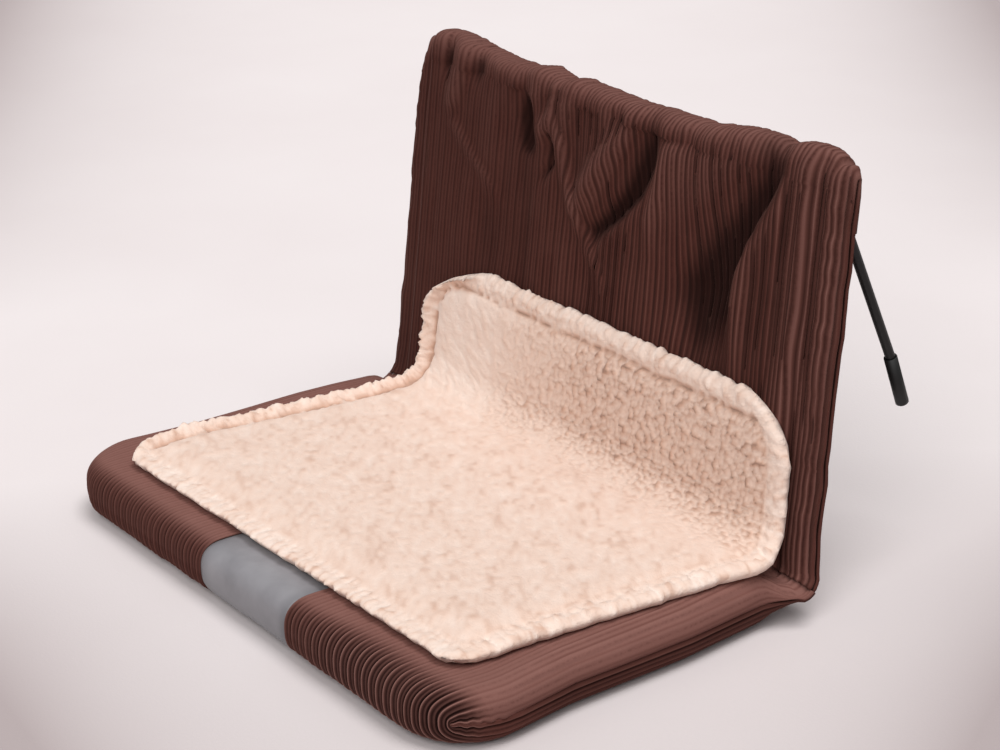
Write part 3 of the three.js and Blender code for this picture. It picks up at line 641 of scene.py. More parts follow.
def seat_folds(grid, u, ahead):
    edge = SEAT_HALF_CLOTH - np.abs(u)
    on_side = smooth(0.7 * CORNER, 1.3 * CORNER, grid[..., 1])
    above = np.where(ahead > 0, 1, 0) * on_side
    seam = ridges(edge, SEAM_LINES) * on_side
    creases = ridges(edge - noise(ahead / 60, 0, 61), SIDE_CREASE) * above
    piping = ridges(edge, PIPING) * above * smooth(*PIPING_START, grid[..., 1])
    face = 1 - smooth(0.5 * QUARTER, 1.2 * QUARTER, np.abs(ahead))
    ripple = FRONT_RIPPLE * face * noise(u / 13, ahead / 45, 7) * smooth(0, 9, edge)
    lumps = SEAT_LUMPS * noise(u / 30, ahead / 38, 9) * above
    pinch = PINCH_DEPTH * bell(np.linalg.norm(grid - np.array(PINCH), axis=-1), PINCH_REACH)
    folds = seam + creases + piping + ripple - pinch + lumps + corner_gathers(grid, u)
    return np.minimum(folds, HIGHEST_FOLD)


def seat_grid(u):
    """Points of the seat cloth, with each row's length of cloth from the front, negative below."""
    upper, lower = seat_rows()
    ahead = np.concatenate([upper[::-1], -lower[1:]])[:, None]
    u = np.broadcast_to(u[None], (len(ahead), len(u)))
    still = smooth(0, 16, SEAT_HALF_CLOTH - np.abs(u))
    for band_edge in (BAND_LEFT, BAND_RIGHT):
        still = still * (1 - bell(u - band_edge, WALE))
    moved = u + rib_drift(u, ahead, 3) * still
    top = seat_point(moved[:len(upper)], upper[::-1, None], True)
    low = seat_point(moved[len(upper):], lower[1:, None], False)
    angles = np.linspace(0, TURN / 2, SEAT_TURN_ROWS + 1)[1:]
    top_turn, low_turn = turn_rows(top[0, :, 0], angles, True), turn_rows(low[-1, :, 0], angles, False)
    ends = REAR_BEND * angles[:, None]
    ahead = np.concatenate([upper[-1] + ends[::-1], ahead, -lower[-1] - ends])
    return squeezed(np.concatenate([top_turn[::-1], top, low, low_turn]), CORNER_SQUEEZE), ahead


# Depths of the gaps between the seat's ribs
WORN_GAP = 0.3
COVERED_GAP = 0.5
UNDER_GAP = 1.1
UNDER_SIDE_GAP = 1.4
FRONT_GAP = 1.5
FRONT_RIGHT_GAP = 0.7
UNDER_FRONT_SHARE = 0.6
DEEPEST_GAP = 3.0
RIB_SHARPNESS = 1.7  # narrows the seat's ribs and widens the gaps between them
RIGHT_SPAN = (60, 170)


def under_mat(grid, ahead):
    """1 on the cloth that the mat covers and keeps from wear, falling to 0 towards the mat's edges."""
    left, right = mat_sides(grid[..., 1] - MAT_FRONT_Y, False)
    covered = np.where(ahead > 0, 1, 0)
    for distance in (grid[..., 0] - left, right - grid[..., 0], grid[..., 1] - MAT_FRONT_Y):
        covered = covered * smooth(2, 40, distance)
    return covered


def seat_gaps(grid, u, ahead, face, covered):
    """Depth of the gaps between ribs: most on the front bar and low on the sides, least on the worn top."""
    edge, below = SEAT_HALF_CLOTH - np.abs(u), ahead < 0
    front = FRONT_GAP + FRONT_RIGHT_GAP * smooth(*RIGHT_SPAN, u)
    front = front * face * np.where(below, UNDER_FRONT_SHARE, 1)
    side = np.where(below, UNDER_SIDE_GAP, 0) * (1 - smooth(22, 36, edge)) * smooth(30, 60, grid[..., 1])
    depth = np.where(below, UNDER_GAP, WORN_GAP) + COVERED_GAP * covered + front + side
    return np.minimum(depth * smooth(0, 3, edge) * rib_depth(u, ahead, 5), DEEPEST_GAP)


def seat_tones(grid, u, ahead, high, face, covered):
    edge, below = SEAT_HALF_CLOTH - np.abs(u), ahead < 0
    seam = smooth(0, 3, edge)
    beside = smooth(CORNER, 2 * CORNER, grid[..., 1])
    right = smooth(40, 150, u)
    in_front = face * (1 - beside) * seam
    # Real wear on the top, plus painted light: the top lighter than the faces, and the underside nearly
    # unlit.
    wear_and_light = (1 - 0.85 * face) * mix(0.35, 1, smooth(0, 0.8 * QUARTER, edge + WALE * (u > 0)))
    wear_and_light = wear_and_light * np.where(below, 0.08, 1) * (1 - 0.4 * covered)
    streaks = 0.6 * bell(edge - 24, 5) * beside
    clear = np.where(below, 1, np.maximum(np.maximum(0.22 + 0.5 * covered, face), streaks)) * seam
    narrow = high ** mix(1, 3.6, right)
    # Painted shade in the valleys between ribs on the front face and underneath.
    gaps = np.where(below, 0.38, 0) * beside * (1.3 - 0.8 * high)
    gaps = np.maximum(gaps, (mix(0.7, 0.94, right) - mix(0.6, 0.94, right) * narrow) * in_front)
    # Painted highlights on the crests of the front face, more to the right.
    wear_and_light = wear_and_light + 0.9 * right * in_front * narrow
    return {"crest": mix(MIDDLE_CREST, high, clear), "shallow": shallow(u) * (1 - 0.7 * wear_and_light), "worn_and_lit": wear_and_light,
            "painted_shade": gaps}


def seat_cover():
    u, high = rib_columns(SEAT_HALF_CLOTH)
    high = (high ** RIB_SHARPNESS)[None]
    grid, ahead = seat_grid(u)
    u = np.broadcast_to(u[None], grid.shape[:2])
    reach = QUARTER * (1 + 0.4 * smooth(*RIGHT_SPAN, u))
    face = 1 - smooth(0.4 * reach, 0.95 * reach, np.abs(ahead))
    covered = under_mat(grid, ahead)
    sewn = 1 - parted(inset_at(SEAT_HALF_CLOTH - np.abs(u)), 18)
    thin = smooth(TAPER_START - 20, BEND_Y - 6, grid[..., 1]) * sewn
    lift = seat_gaps(grid, u, ahead, face, covered) * (high - 1) + seat_folds(grid, u, ahead)
    grid = grid + normals(grid) * (lift * (1 - thin))[..., None]
    hole = (u > BAND_LEFT - 0.1) & (u < BAND_RIGHT - 0.1) & (grid[..., 1] < BAND_TUCK)
    keep = ~(hole[:-1, :-1] & hole[1:, 1:])
    obj = piece("seat_cover_cloth", grid, quads_of(*u.shape, keep=keep), "frame", "corduroy",
                seat_tones(grid, u, ahead, high, face, covered))
    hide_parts("seat_cover")
    return thickened(obj, CLOTH)


BAND_MARGINS = (0.4, 0.7)
BAND_SINK = 0.9  # the band lies lower than the ribs, more so along its edges and at its ends
BAND_EDGE_SINK = 0.9
BAND_END_SINK = 1.8


def grey_band():
    x = np.linspace(BAND_LEFT + BAND_MARGINS[0], BAND_RIGHT - BAND_MARGINS[1], 54)
    far = BAND_TUCK - HALF_BAR + QUARTER
    tuck = np.linspace(far, QUARTER, 10)
    s = np.concatenate([-tuck[:-1], np.linspace(-QUARTER, QUARTER, 41), tuck[-2::-1]])[:, None]
    points = seat_point(x[None], np.abs(s), s < 0)
    edge = np.minimum(x - x[0], x[-1] - x)[None]
    sink = BAND_SINK + BAND_EDGE_SINK * bell(edge, 2.5) + 0.35 * noise(x[None] / 24, s / 16, 71)
    sink = sink + BAND_END_SINK * (1 - smooth(1, 9, far - np.abs(s)))
    points = points - normals(points) * sink[..., None]
    shade = np.clip(0.75 * smooth(-18, 24, s) + 0.45 * bell(edge, 7), 0, 0.75)
    obj = piece("grey_band_cloth", points, quads_of(len(s), len(x)), "frame", "grey_band", {"shade": shade})
    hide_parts("grey_band")
    return thickened(obj, BAND_THICKNESS)


# Back section of the cover

# Long folds of the front cloth, as (points from the foot up, width to the left, width to the right).
# Each point is (x, distance along the back, height of the cloth over where it would lie taut).
LONG_FOLDS = [
    ([(141, 118, 0), (141, 150, -3.5), (140, 172, -7), (143, 190, -7.5), (150, 209, -7), (160, 226, -6),
      (170, 242, -5.5), (178, 256, -4)], 33, 9),
    ([(151, 118, 0), (151, 145, 1.6), (150, 168, 2.8), (152, 188, 3.2), (161, 210, 3.2), (172, 229, 2.6),
      (181, 246, 2.4), (185, 262, 1.6)], 7, 14),
    ([(-16, 182, 0), (-10, 196, 4), (-2, 208, 6), (12, 228, 6), (26, 246, 5), (38, 264, 2)], 13, 10),
    ([(-4, 164, 0), (8, 180, -5), (24, 194, -7), (41, 213, -7.5), (53, 236, -6.5), (56, 262, -2)], 13, 9),
    ([(64, 175, 0), (62, 200, 2), (69, 220, 2.6), (70, 236, 2), (72, 256, 0)], 7, 9),
    ([(27, 128, 0), (11, 156, 1.8), (-5, 173, 3.0), (-18, 191, 3.2), (-29, 207, 3.2), (-36, 229, 3.0),
      (-47, 244, 1.8), (-50, 254, 0)], 9, 4.5),
    ([(-78, 212, 0), (-79, 224, -6), (-82, 238, -6.5), (-82, 250, -5), (-84, 262, -1)], 8, 8),
    ([(-51, 236, 0), (-51, 244, 2.5), (-50, 258, 2.5), (-49, 270, 0)], 4, 4),
    ([(-60, 196, 0), (-48, 214, -4.5), (-51, 227, -5), (-54, 238, 0)], 6, 5),
    ([(-172, 222, 0), (-166, 236, 3.5), (-161, 252, 4), (-158, 264, 3), (-160, 275, 1)], 9, 9),
    ([(-98, 168, 0), (-120, 188, 1.6), (-140, 200, 2), (-158, 214, 2), (-172, 228, 0)], 10, 6),
    ([(205, 128, 0), (199, 169, 1.6), (196, 205, 1.8), (199, 236, 1.6), (201, 262, 0)], 6, 6),
]
# Bumps and pockets of the front cloth: x, distance along, width, reach up, reach down, height
BUMPS = [
    (84, 250, 14, 8, 30, 4), (118, 254, 18, 8, 30, 3.2), (-33, 258, 12, 8, 26, 4), (-72, 268, 10, 6, 20, 3),
    (12, 262, 12, 8, 20, 2.2), (150, 262, 20, 8, 30, 2), (-58, 236, 8, 8, 9, 4), (-105, 262, 14, 8, 26, 2.4),
    (-202, 252, 7, 14, 16, -6.0), (-180, 262, 6, 10, 12, -5.0), (-143, 264, 9, 8, 14, -4.5),
    (-120, 150, 34, 34, 34, -1.0), (100, 160, 26, 24, 36, -2.4), (190, 150, 14, 30, 30, 1.6),
]
# Top line of the folded-over cloth: x, distance along the back
CROWN = [
    (-231, 215), (-229, 240), (-220.8, 259.8), (-212.5, 270), (-202, 275.8), (-187.5, 279), (-176, 278),
    (-157, 275), (-137, 271.3), (-119, 270), (-93, 268.9), (-85, 270.5), (-72, 274.1), (-60, 271.9),
    (-49.5, 268.3), (-40, 270.9), (-22, 270.2), (6, 268.3), (39, 268.2), (45, 266.5), (57, 267.9),
    (76, 269.1), (86, 267.9), (103, 269.3), (116, 272.1), (127, 274), (143, 275.8), (159, 276.5),
    (167.5, 274.5), (174.4, 271.2), (180, 274.6), (190, 278.8), (199, 279.9), (210.5, 276.5),
    (220, 272.6), (227.5, 274), (231, 268),
]


FOLD_STRENGTH = 1.3
FOLD_NOISE = [(1.5, 24, 70, 41), (0.4, 9, 34, 43)]
DEEPEST_LOW = 14.5
DEEPEST_HIGH = 8.5


def near_hook(x, reach):
    return 1 - smooth(ROD / 2 + CLOTH, reach, np.abs(np.abs(x) - HOOK_X))


def fold_at(x, along):
    """Height of the front cloth's folds over where it would lie taut."""
    x, along = np.broadcast_arrays(x, along)
    total = np.zeros(x.shape)
    for points, left, right in LONG_FOLDS:
        places, ups, heights = zip(*points)
        off = x - np.interp(along, ups, places)
        total += np.interp(along, ups, heights) * bell(off, np.where(off < 0, left, right))
    for at_x, at, width, up, down, height in BUMPS:
        total += height * bell(x - at_x, width) * bell(along - at, np.where(along > at, up, down))
    total = FOLD_STRENGTH * (total + waves(x, along, FOLD_NOISE))
    lowest = -mix(DEEPEST_LOW, DEEPEST_HIGH, smooth(190, 250, along))
    return np.maximum(total, lowest) * (1 - smooth(203, 214, np.abs(x))) * (1 - near_hook(x, 11))


# Pulls of the cloth: where its foot is, how far it reaches aside, and its share of that distance
RIGHT_PULL = (150, 58, -0.5)
MIDDLE_PULL = (18, 48, -0.28)


def drawn_in(x, along, inset):
    """Sideways pull of the ribs towards the foot of each big fold."""
    total = 0
    for (foot, reach, share), part in ((RIGHT_PULL, 1 - smooth(146, 168, x)), (MIDDLE_PULL, 1)):
        total = total + share * (x - foot) * bell(x - foot, reach) * part
    return total * (1 - smooth(140, 262, along)) * smooth(0, 32, inset)


def back_half_width(along):
    return mix(BACK_FOOT_X, BACK_TOP_X, clamp01(along / BACK_LENGTH))


def corner_drop(x):
    drop = [h - rounded(BACK_TOP_X - np.abs(x), w, h) for w, h in (TOP_CORNER_LEFT, TOP_CORNER_RIGHT)]
    return np.where(x < 0, *drop)


def flap_stand_off(x):
    return mix(FLAP_INNER, HOOK_INNER, near_hook(x, 4 * ROD))


def back_point(x, along, ahead):
    x, along, ahead = np.broadcast_arrays(x, along, ahead)
    point = REAR_CORNER + along[..., None] * ALONG + ahead[..., None] * AHEAD
    point[..., 0] = x
    return point


BACK_TURN = np.linspace(TURN / 2, TURN, 5)[:-1]
LOW_TOP = 125
PUCKER = 1.1
WAVER = 1.1


def back_rows(every=1):
    """Shares of the way up the back at which the layers have a row."""
    low = np.linspace(TANGENT, LOW_TOP, 19)
    rows = np.concatenate([low, np.linspace(LOW_TOP, MOUTH, 43)[1:]])[::every]
    return (rows - TANGENT) / (MOUTH - TANGENT)


def back_layer(u, shares, front):
    """The front or rear layer, from the turn up to the top bar."""
    top = MOUTH - corner_drop(u * BACK_TOP_X / BACK_FOOT_X)[None]
    along = mix(TANGENT, top, shares[:, None])
    half = back_half_width(along)
    x = u[None] * half / BACK_FOOT_X
    inset = half - np.abs(x)
    past = along - TANGENT + HALF_BEND
    x = x + rib_drift(x, along, 25 if front else 27) * smooth(0, 14, inset)
    if front:
        x = x + drawn_in(x, along, inset)
    waver = WAVER * noise(along / 14, 0, 29) * (1 - smooth(0, 12, inset))
    lift = back_lift(np.abs(x), inset, along, front)
    pucker = PUCKER * noise(along / 8, np.sign(x), 30) * bell(inset - 9, 6)
    if front:
        lift = lift + fold_at(x, along) * parted(inset) + bunched(x, past)
    else:
        lift = lift + (0.9 * noise(x / 40, along / 50, 45) - 0.5) * parted(inset, 40)
    lift = lift + np.maximum(pucker, -1.0)
    return back_point(flared(x, past) + np.sign(x) * waver, along, lift if front else -lift)


WRAP_SEAM_REACH = 18


def top_line(x, inset):
    """Distance along the back of the folded-over cloth's top."""
    inside = inset > SEAM_REACH
    over_rod = mix(ROD_CREST, HOOK_CREST, near_hook(x, 2.5 * ROD)) * inside
    crumple = 1.2 * np.abs(noise(x / 11, 0, 49)) + 0.5 * noise(x / 5, 0, 50)
    crown = np.interp(x, *zip(*CROWN))
    raised = ROD_CREST + 0.8 * np.maximum(crown - CROWN_LOW, 0) + np.maximum(crumple, 0)
    return np.maximum.reduce([crown - CROWN_ROUND, over_rod, raised * inside])


def wrap_row(x, inset, base, rise, angle):
    """A row of the turn over the top bar. The angle is 0 at its front foot and pi at its rear one."""
    in_front = angle <= math.pi / 2
    roundness = WRAP_SHOULDER if angle < math.pi / 2 else WRAP_ROUNDNESS
    reach = math.copysign(abs(math.cos(angle)) ** (2 / roundness), 1 if in_front else -1)
    stand_off = front_stand_off(x) + fold_at(x, base) if in_front else flap_stand_off(x)
    ripple = 1.4 * noise(x / 8, 1.4 * angle, 47) + 2.0 * noise(x / 19, angle, 48)
    stand_off = stand_off + np.maximum(ripple, -0.8)
    layer = SEWN + (stand_off + CLOTH - SEWN) * parted(inset, WRAP_SEAM_REACH)
    aside = 2.2 * noise(x / 23, 1.3 * angle, 53) * math.sin(angle) * smooth(0, 30, inset)
    return back_point(x + aside, base + rise * math.sin(angle) ** (2 / roundness), layer * reach)


def back_front_grid(u):
    """Front layer, the turn over the top bar, and the flap behind it."""
    x = u * BACK_TOP_X / BACK_FOOT_X
    inset = BACK_TOP_X - np.abs(x)
    base = BACK_LENGTH - WRAP_DROP - corner_drop(x)
    hem = np.minimum(BACK_LENGTH - FLAP_LENGTH, base - FLAP_HEM)
    rise = top_line(x, inset) - base
    x = x + rib_drift(x, base, 25) * smooth(0, 14, inset)
    rows = [wrap_row(x, inset, base, rise, angle) for angle in np.linspace(0, math.pi, WRAP_ROWS)]
    flap = SEWN + (flap_stand_off(x) + CLOTH - SEWN) * parted(inset, WRAP_SEAM_REACH)
    rows += [back_point(x, mix(base, hem, share), -flap) for share in np.linspace(0, 1, FLAP_ROWS + 1)[1:]]
    return np.concatenate([turn_rows(u, BACK_TURN, True), back_layer(u, back_rows(), True), np.array(rows)])


def back_rear_grid(u):
    return np.concatenate([turn_rows(u, BACK_TURN, False), back_layer(u, back_rows(2), False)])


def hook_slots(grid):
    """True where the flap is cut away for the hook rods."""
    offset = grid - REAR_CORNER
    along = offset @ ALONG
    ahead = offset @ AHEAD
    beside = np.abs(np.abs(grid[..., 0]) - HOOK_X) < SLOT_WIDTH / 2
    return beside & (ahead < 0) & (along < SLOT_TOP)


def wrap_share(rows, rear):
    """0 on the flat rows of a layer, up to 1 on the row along the very top."""
    share = np.zeros(rows)
    if not rear:
        share[-WRAP_ROWS - FLAP_ROWS:-FLAP_ROWS] = np.sin(np.linspace(0, math.pi, WRAP_ROWS)) ** 0.7
    return share[:, None]


BACK_GAP = 1.35
WRAP_GAP_LESS = 0.9
SOFT_GAP_LESS = 0.5
BACK_VALLEY = 0.26  # makes the shallow valleys deeper than in the seat, and more so on the right
BACK_VALLEY_RIGHT = 0.36
BACK_ROW_STEP = 3.0
# Most painted shade in a fold
DARKEST_FOLD = 0.85


def back_part(grid, u, high, seed, rear):
    """One layer's points, shaped into ribs, with the values for its material."""
    edge = (BACK_FOOT_X - np.abs(u))[None]
    seam = smooth(0, 4, edge) * np.ones((len(grid), 1))
    folded_over = wrap_share(len(grid), rear)
    soft = 1 - smooth(-140, 60, u)[None]
    valley = BACK_VALLEY + BACK_VALLEY_RIGHT * smooth(140, 200, u)
    tall = (high - valley * shallow(u))[None]
    depth = BACK_GAP - WRAP_GAP_LESS * folded_over - SOFT_GAP_LESS * soft * (1 - folded_over)
    depth = depth * seam * rib_depth(u[None], np.arange(len(grid))[:, None] * BACK_ROW_STEP, seed)
    lift = depth * (tall - 1) - 0.5 * bell(edge - SEAM_STRIP, 1.3)
    out = normals(grid) * (-1 if rear else 1)
    clear = seam * (1 - 0.45 * soft) * (1 - 0.55 * folded_over)
    offset = grid - REAR_CORNER
    fold = fold_at(grid[..., 0], offset @ ALONG) * (offset @ AHEAD > 0)
    # Painted light on the turn over the top bar and on the right strip that faces the light; the value below
    # also lightens fold ridges as painted light.
    lit = np.maximum(0.62 * folded_over, 0.45 * smooth(180, 206, u)[None] * seam)
    # Painted shade in the folds of the front cloth and over its left part.
    dark = (0.85 * smooth(0.2, 6, -fold) + 0.2 * soft) * (1 - 0.8 * folded_over)
    return grid + out * lift[..., None], {
        "crest": mix(MIDDLE_CREST, tall, clear),
        "shallow": shallow(u)[None] * np.ones(seam.shape),
        "worn_and_lit": np.maximum(lit, 0.3 * smooth(0.5, 5, fold)),
        "painted_shade": np.clip(dark, 0, DARKEST_FOLD),
    }


def back_cover():
    u, high = rib_columns(BACK_FOOT_X)
    coarse = np.isin(np.round(u % WALE, 2), (0, 1.6, 4, 6.4))
    coarse[[0, -1]] = True
    front, rear = back_front_grid(u), back_rear_grid(u[coarse])
    keep = ~hook_slots((front[:-1, :-1] + front[1:, 1:]) / 2)
    quads = np.concatenate([quads_of(*front.shape[:2], keep=keep),
                            quads_of(*rear.shape[:2], flip=True) + front[..., 0].size])
    front, front_values = back_part(front, u, high, 21, False)
    rear, rear_values = back_part(rear, u[coarse], high[coarse], 23, True)
    points = np.concatenate([front.reshape(-1, 3), rear.reshape(-1, 3)])
    both = ((key, value.ravel(), rear_values[key].ravel()) for key, value in front_values.items())
    values = {key: np.concatenate(pair) for key, *pair in both}
    obj = piece("back_cover_cloth", points, quads, "frame", "corduroy", values)
    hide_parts("back_cover")
    return thickened(obj, CLOTH)


# Mat

MAT_LOW = HALF_HEIGHT + GAP
MAT_AHEAD = HOOK_INNER + CLOTH + GAP
MAT_BEND_REACH = MAT_BEND * math.tan(TURN / 2)
MAT_CORNER_ALONG = (MAT_LOW - MAT_AHEAD * math.sin(BACK_LEAN)) / math.cos(BACK_LEAN)
MAT_CORNER = REAR_CORNER + MAT_CORNER_ALONG * ALONG + MAT_AHEAD * AHEAD
MAT_BEND_START = MAT_CORNER[1] - MAT_BEND_REACH - MAT_FRONT_Y
MAT_BEND_LENGTH = MAT_BEND * TURN
MAT_LENGTH = MAT_BEND_START + MAT_BEND_LENGTH + MAT_TOP - MAT_CORNER_ALONG - MAT_BEND_REACH


def mat_point(x, run, height):
    on_seat = stack(x, MAT_FRONT_Y + run, HALF_HEIGHT + MAT_LOW + height)
    angle = clamp01((run - MAT_BEND_START) / MAT_BEND_LENGTH) * TURN
    reach = MAT_BEND - height
    y = MAT_CORNER[1] - MAT_BEND_REACH + reach * np.sin(angle)
    z = HALF_HEIGHT + MAT_LOW + MAT_BEND - reach * np.cos(angle)
    past = np.maximum(0, run - MAT_BEND_START - MAT_BEND_LENGTH)
    bent = stack(x, y, z) + np.broadcast_to(past, np.broadcast(x, y).shape)[..., None] * ALONG
    return np.where((run <= MAT_BEND_START)[..., None], on_seat, bent)


def tufts(along, seed, width=TUFT, square=2.4):
    """Uneven tufts in a row along the mat's rim: from 0 between them to 1 on top of one."""
    at = along / width + 0.6 * noise(along / 17, 0, seed)
    rows = 1 - np.abs(2 * (at % 1) - 1) ** square
    size = 0.72 + 0.4 * noise(np.floor(at), 0, seed + 1)
    return rows * size


def corner_cut(share):
    """From 0 to 1 across a rounded corner of the mat."""
    bulge = 0.97
    return (1 - np.sqrt(1 - (bulge * share) ** 2)) / (1 - math.sqrt(1 - bulge**2))


def mat_sides(run, corners=True):
    """Where the mat's left and right sides lie, with or without its rounded corners."""
    sides = []
    for k in range(2):
        edge = SEAT_WIDTH / 2 - mix(MAT_FRONT[k], MAT_REAR[k], smooth(0, MAT_BEND_START, run))
        edge = edge + k * MAT_REAR_BULGE * bell(run - MAT_BEND_START - 0.3 * MAT_BEND_LENGTH, 26)
        near = clamp01(1 - run / MAT_FRONT_CORNER[k])
        far = clamp01(1 - (MAT_LENGTH - run) / MAT_TOP_CORNER_HEIGHT)
        cut = MAT_FRONT_CORNER[k] * corner_cut(near) + MAT_TOP_CORNER[k] * corner_cut(far)
        sides.append(edge - cut * corners)
    return -sides[0], sides[1]


def mat_surface(inset, run, upper):
    edge = MAT_EDGE / 2
    if not upper:
        return edge - rounded(inset, edge, edge)
    crown = (MAT_THICKNESS - MAT_EDGE) * smooth(edge, 2 * MAT_BORDER, inset)
    at_front = 1 - smooth(MAT_BORDER, 3.2 * MAT_BORDER, run)
    thin = 1 - 0.5 * at_front * (1 - smooth(0, 3 * MAT_BORDER, inset))
    return edge + (rounded(inset, edge, edge) + crown) * thin


def edge_spaced(total, spacing):
    """Places from 0 to total, closer together at both ends."""
    near = np.array([0, 0.3, 0.9, 1.8, 3, 4.4])
    inner = np.linspace(6, total - 6, int((total - 12) / spacing))
    return np.concatenate([near, inner, total - near[::-1]])


def coarse_faces(rows, columns, step):
    """Faces of a grid with only every few rows and columns, but with every point along its border."""
    row_cuts = [*range(0, rows - 1, step), rows - 1]
    column_cuts = [*range(0, columns - 1, step), columns - 1]
    faces = []
    for top, foot in zip(row_cuts, row_cuts[1:]):
        for left, right in zip(column_cuts, column_cuts[1:]):
            down = range(top, foot) if left == 0 else [top]
            across = range(left, right) if foot == rows - 1 else [left]
            up = range(foot, top, -1) if right == columns - 1 else [foot]
            back = range(right, left, -1) if top == 0 else [right]
            face = [r * columns + left for r in down] + [foot * columns + c for c in across]
            faces.append(face + [r * columns + right for r in up] + [top * columns + c for c in back])
    return faces


# Heights of the pile: where it is brushed flat, where it curls, and along the rim
BRUSHED = 1.5
CURLED = 2.6
RIM_PILE = 3.8
RIM_FINE = 0.8
PILE_SINK = 1.2
PILE_BEND = [(1.5, 5, 5, 36), (0.6, 2.4, 2.4, 37)]
PILE_DRIFT = [(1.5, 5, 5, 38)]
BRUSHED_NOISE = [(0.24, 2.8, 9, 33), (0.2, 8, 13, 34), (0.26, 2.6, 5, 39)]


def pile_at(x, run, inset, rim_tufts):
    """Height of the fleece's pile, and a value from 0, deep between the tufts, to 1 on top of them."""
    bent_x = x + waves(x, run, PILE_BEND)
    bent_run = run + waves(x, run, PILE_DRIFT)
    grain = 1 - clamp01(1.3 * cells(bent_x / CURL + 60, bent_run / (CURL * 0.86) + 60, 31)) ** 2
    across, down = 0.57 * x + 0.82 * run, 0.57 * run - 0.82 * x
    fine = noise(across / 2.6, down / 5, 39)
    brushed = 0.5 + waves(across, down, BRUSHED_NOISE)
    upright = smooth(MAT_BEND_START - 26, MAT_BEND_START + 44, run + 12 * noise(x / 60, run / 60, 42))
    curly = upright * smooth(-120, 10, x + 30 * noise(run / 50, x / 60, 40))
    rim = 1 - smooth(MAT_BORDER - 4, MAT_BORDER + 1, inset)
    knots = 1 - clamp01(1.2 * cells(bent_x / KNOT + 9, bent_run / KNOT + 9, 35)) ** 2
    rim_pile = clamp01(mix(knots, rim_tufts, 0.45))
    height = mix(mix(BRUSHED * brushed, CURLED * grain, curly), RIM_PILE * rim_pile + RIM_FINE * fine, rim)
    # The brushed tone varies at random, and the upright part is painted lighter, as painted light.
    brushed_and_lit_tone = 0.3 + 0.5 * brushed + 0.3 * upright * (1 - curly)
    # The colour value: painted shade deep between curls and between the rim's tufts, lighter on their tops.
    depth = mix(mix(brushed_and_lit_tone, 0.03 + 0.5 * grain, curly), 0.2 + 0.85 * rim_pile ** 1.3, rim)
    return height, depth


WIDEST = 410
# At the mat's front, far, left and right border: how deep it is sewn, and how high its rim is rolled
SEWN_SHARES = (0.12, 1.0, 1.0, 0.3)
ROLL_HEIGHTS = (0.0, 2.4, 8.5, 1.5)
UNEVEN_RIM = [(0.45, 5, 1, 0), (0.3, 2.3, 1, 1)]
BIG_TUFT = 8.6


def uneven(along, seed):
    return 0.5 + waves(along, 0, UNEVEN_RIM, seed)


def weighed(weights, parts):
    return sum(w * part for w, part in zip(weights, parts)) / sum(weights)


def rim_rows(x, run, to_left):
    big = tufts(run + 3 + 0.25 * to_left, 85, BIG_TUFT, 4)
    far = mix(tufts(x, 89), uneven(x, 96), 0.6)
    return [uneven(x, 93), far, mix(big, uneven(run, 97), 0.25), uneven(run, 81)]


def mat():
    runs = edge_spaced(MAT_LENGTH, PILE_STEP)
    shares = edge_spaced(WIDEST, PILE_STEP)[None] / WIDEST
    left, right = (side[:, None] for side in mat_sides(runs))
    square_left, square_right = (side[:, None] for side in mat_sides(runs, corners=False))
    x = np.clip(mix(square_left, square_right, shares), left, right)
    run = np.broadcast_to(runs[:, None], x.shape)
    to_left = x - left
    borders = [run, MAT_LENGTH - run, to_left, right - x]
    inset = np.minimum.reduce(borders)
    near = [1 - smooth(0, 8, distance) for distance in borders]
    rows = rim_rows(x, run, to_left)
    weights = [bell(distance, 0.7 * MAT_BORDER) + 1e-6 for distance in borders]
    rim_tufts, sewn, roll = [weighed(weights, parts) for parts in (rows, SEWN_SHARES, ROLL_HEIGHTS)]
    at_x = x + TUFT_OUT * (0.6 * near[3] * rows[3] - 0.4 * near[2] * rows[2]) * smooth(0, 30, run)
    at_run = run + TUFT_OUT * (near[1] * rows[1] - 0.7 * near[0] * rows[0])
    at_run = at_run + mix(*MAT_FRONT_SKEW, shares) * (1 - smooth(0, 170, run))
    height, depth = pile_at(x, run, inset, rim_tufts)
    border = MAT_BORDER + 1.3 * noise(x / 14, run / 14, 44) + 2 * bell(to_left, 2 * MAT_BORDER)
    beside_left = bell(to_left - border, 12)
    stitched = sewn * bell(inset - border, 1.8 + 2.2 * beside_left)
    stitched = stitched * clamp01(0.7 + 0.8 * noise(x / 4, run / 4, 46))
    stitched = clamp01(stitched * (1 + 0.5 * beside_left)) * smooth(0, 6, inset)
    roll = roll * bell(inset - 0.45 * MAT_BORDER, 5.6) * (0.55 + 0.55 * rim_tufts) * smooth(0, 3, inset)
    top = mat_point(at_x, at_run, mat_surface(inset, run, True) - MAT_GROOVE * stitched + roll)
    low = mat_point(at_x, at_run, mat_surface(inset, run, False))
    lying = mix(0.5, 1, smooth(0, 30, run))
    lift = height * lying * (1 - 0.6 * stitched) - PILE_SINK
    top = top + normals(top) * (lift * smooth(0, 2.5, inset))[..., None]
    points = np.concatenate([top.reshape(-1, 3), low.reshape(-1, 3)])
    under = [[x.size + corner for corner in reversed(face)] for face in coarse_faces(*x.shape, 4)]
    # The stitch line is darker: partly the sewn seam, partly painted shade in its groove.
    pile = np.concatenate([(depth * (1 - 0.85 * stitched)).ravel(), 0.5 * np.ones(x.size)])
    faces = quads_of(*x.shape).tolist() + under
    obj = piece("sherpa_mat_pile", points, faces, "mat", "sherpa", {"pile": pile})
    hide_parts("sherpa_mat")


# Foam

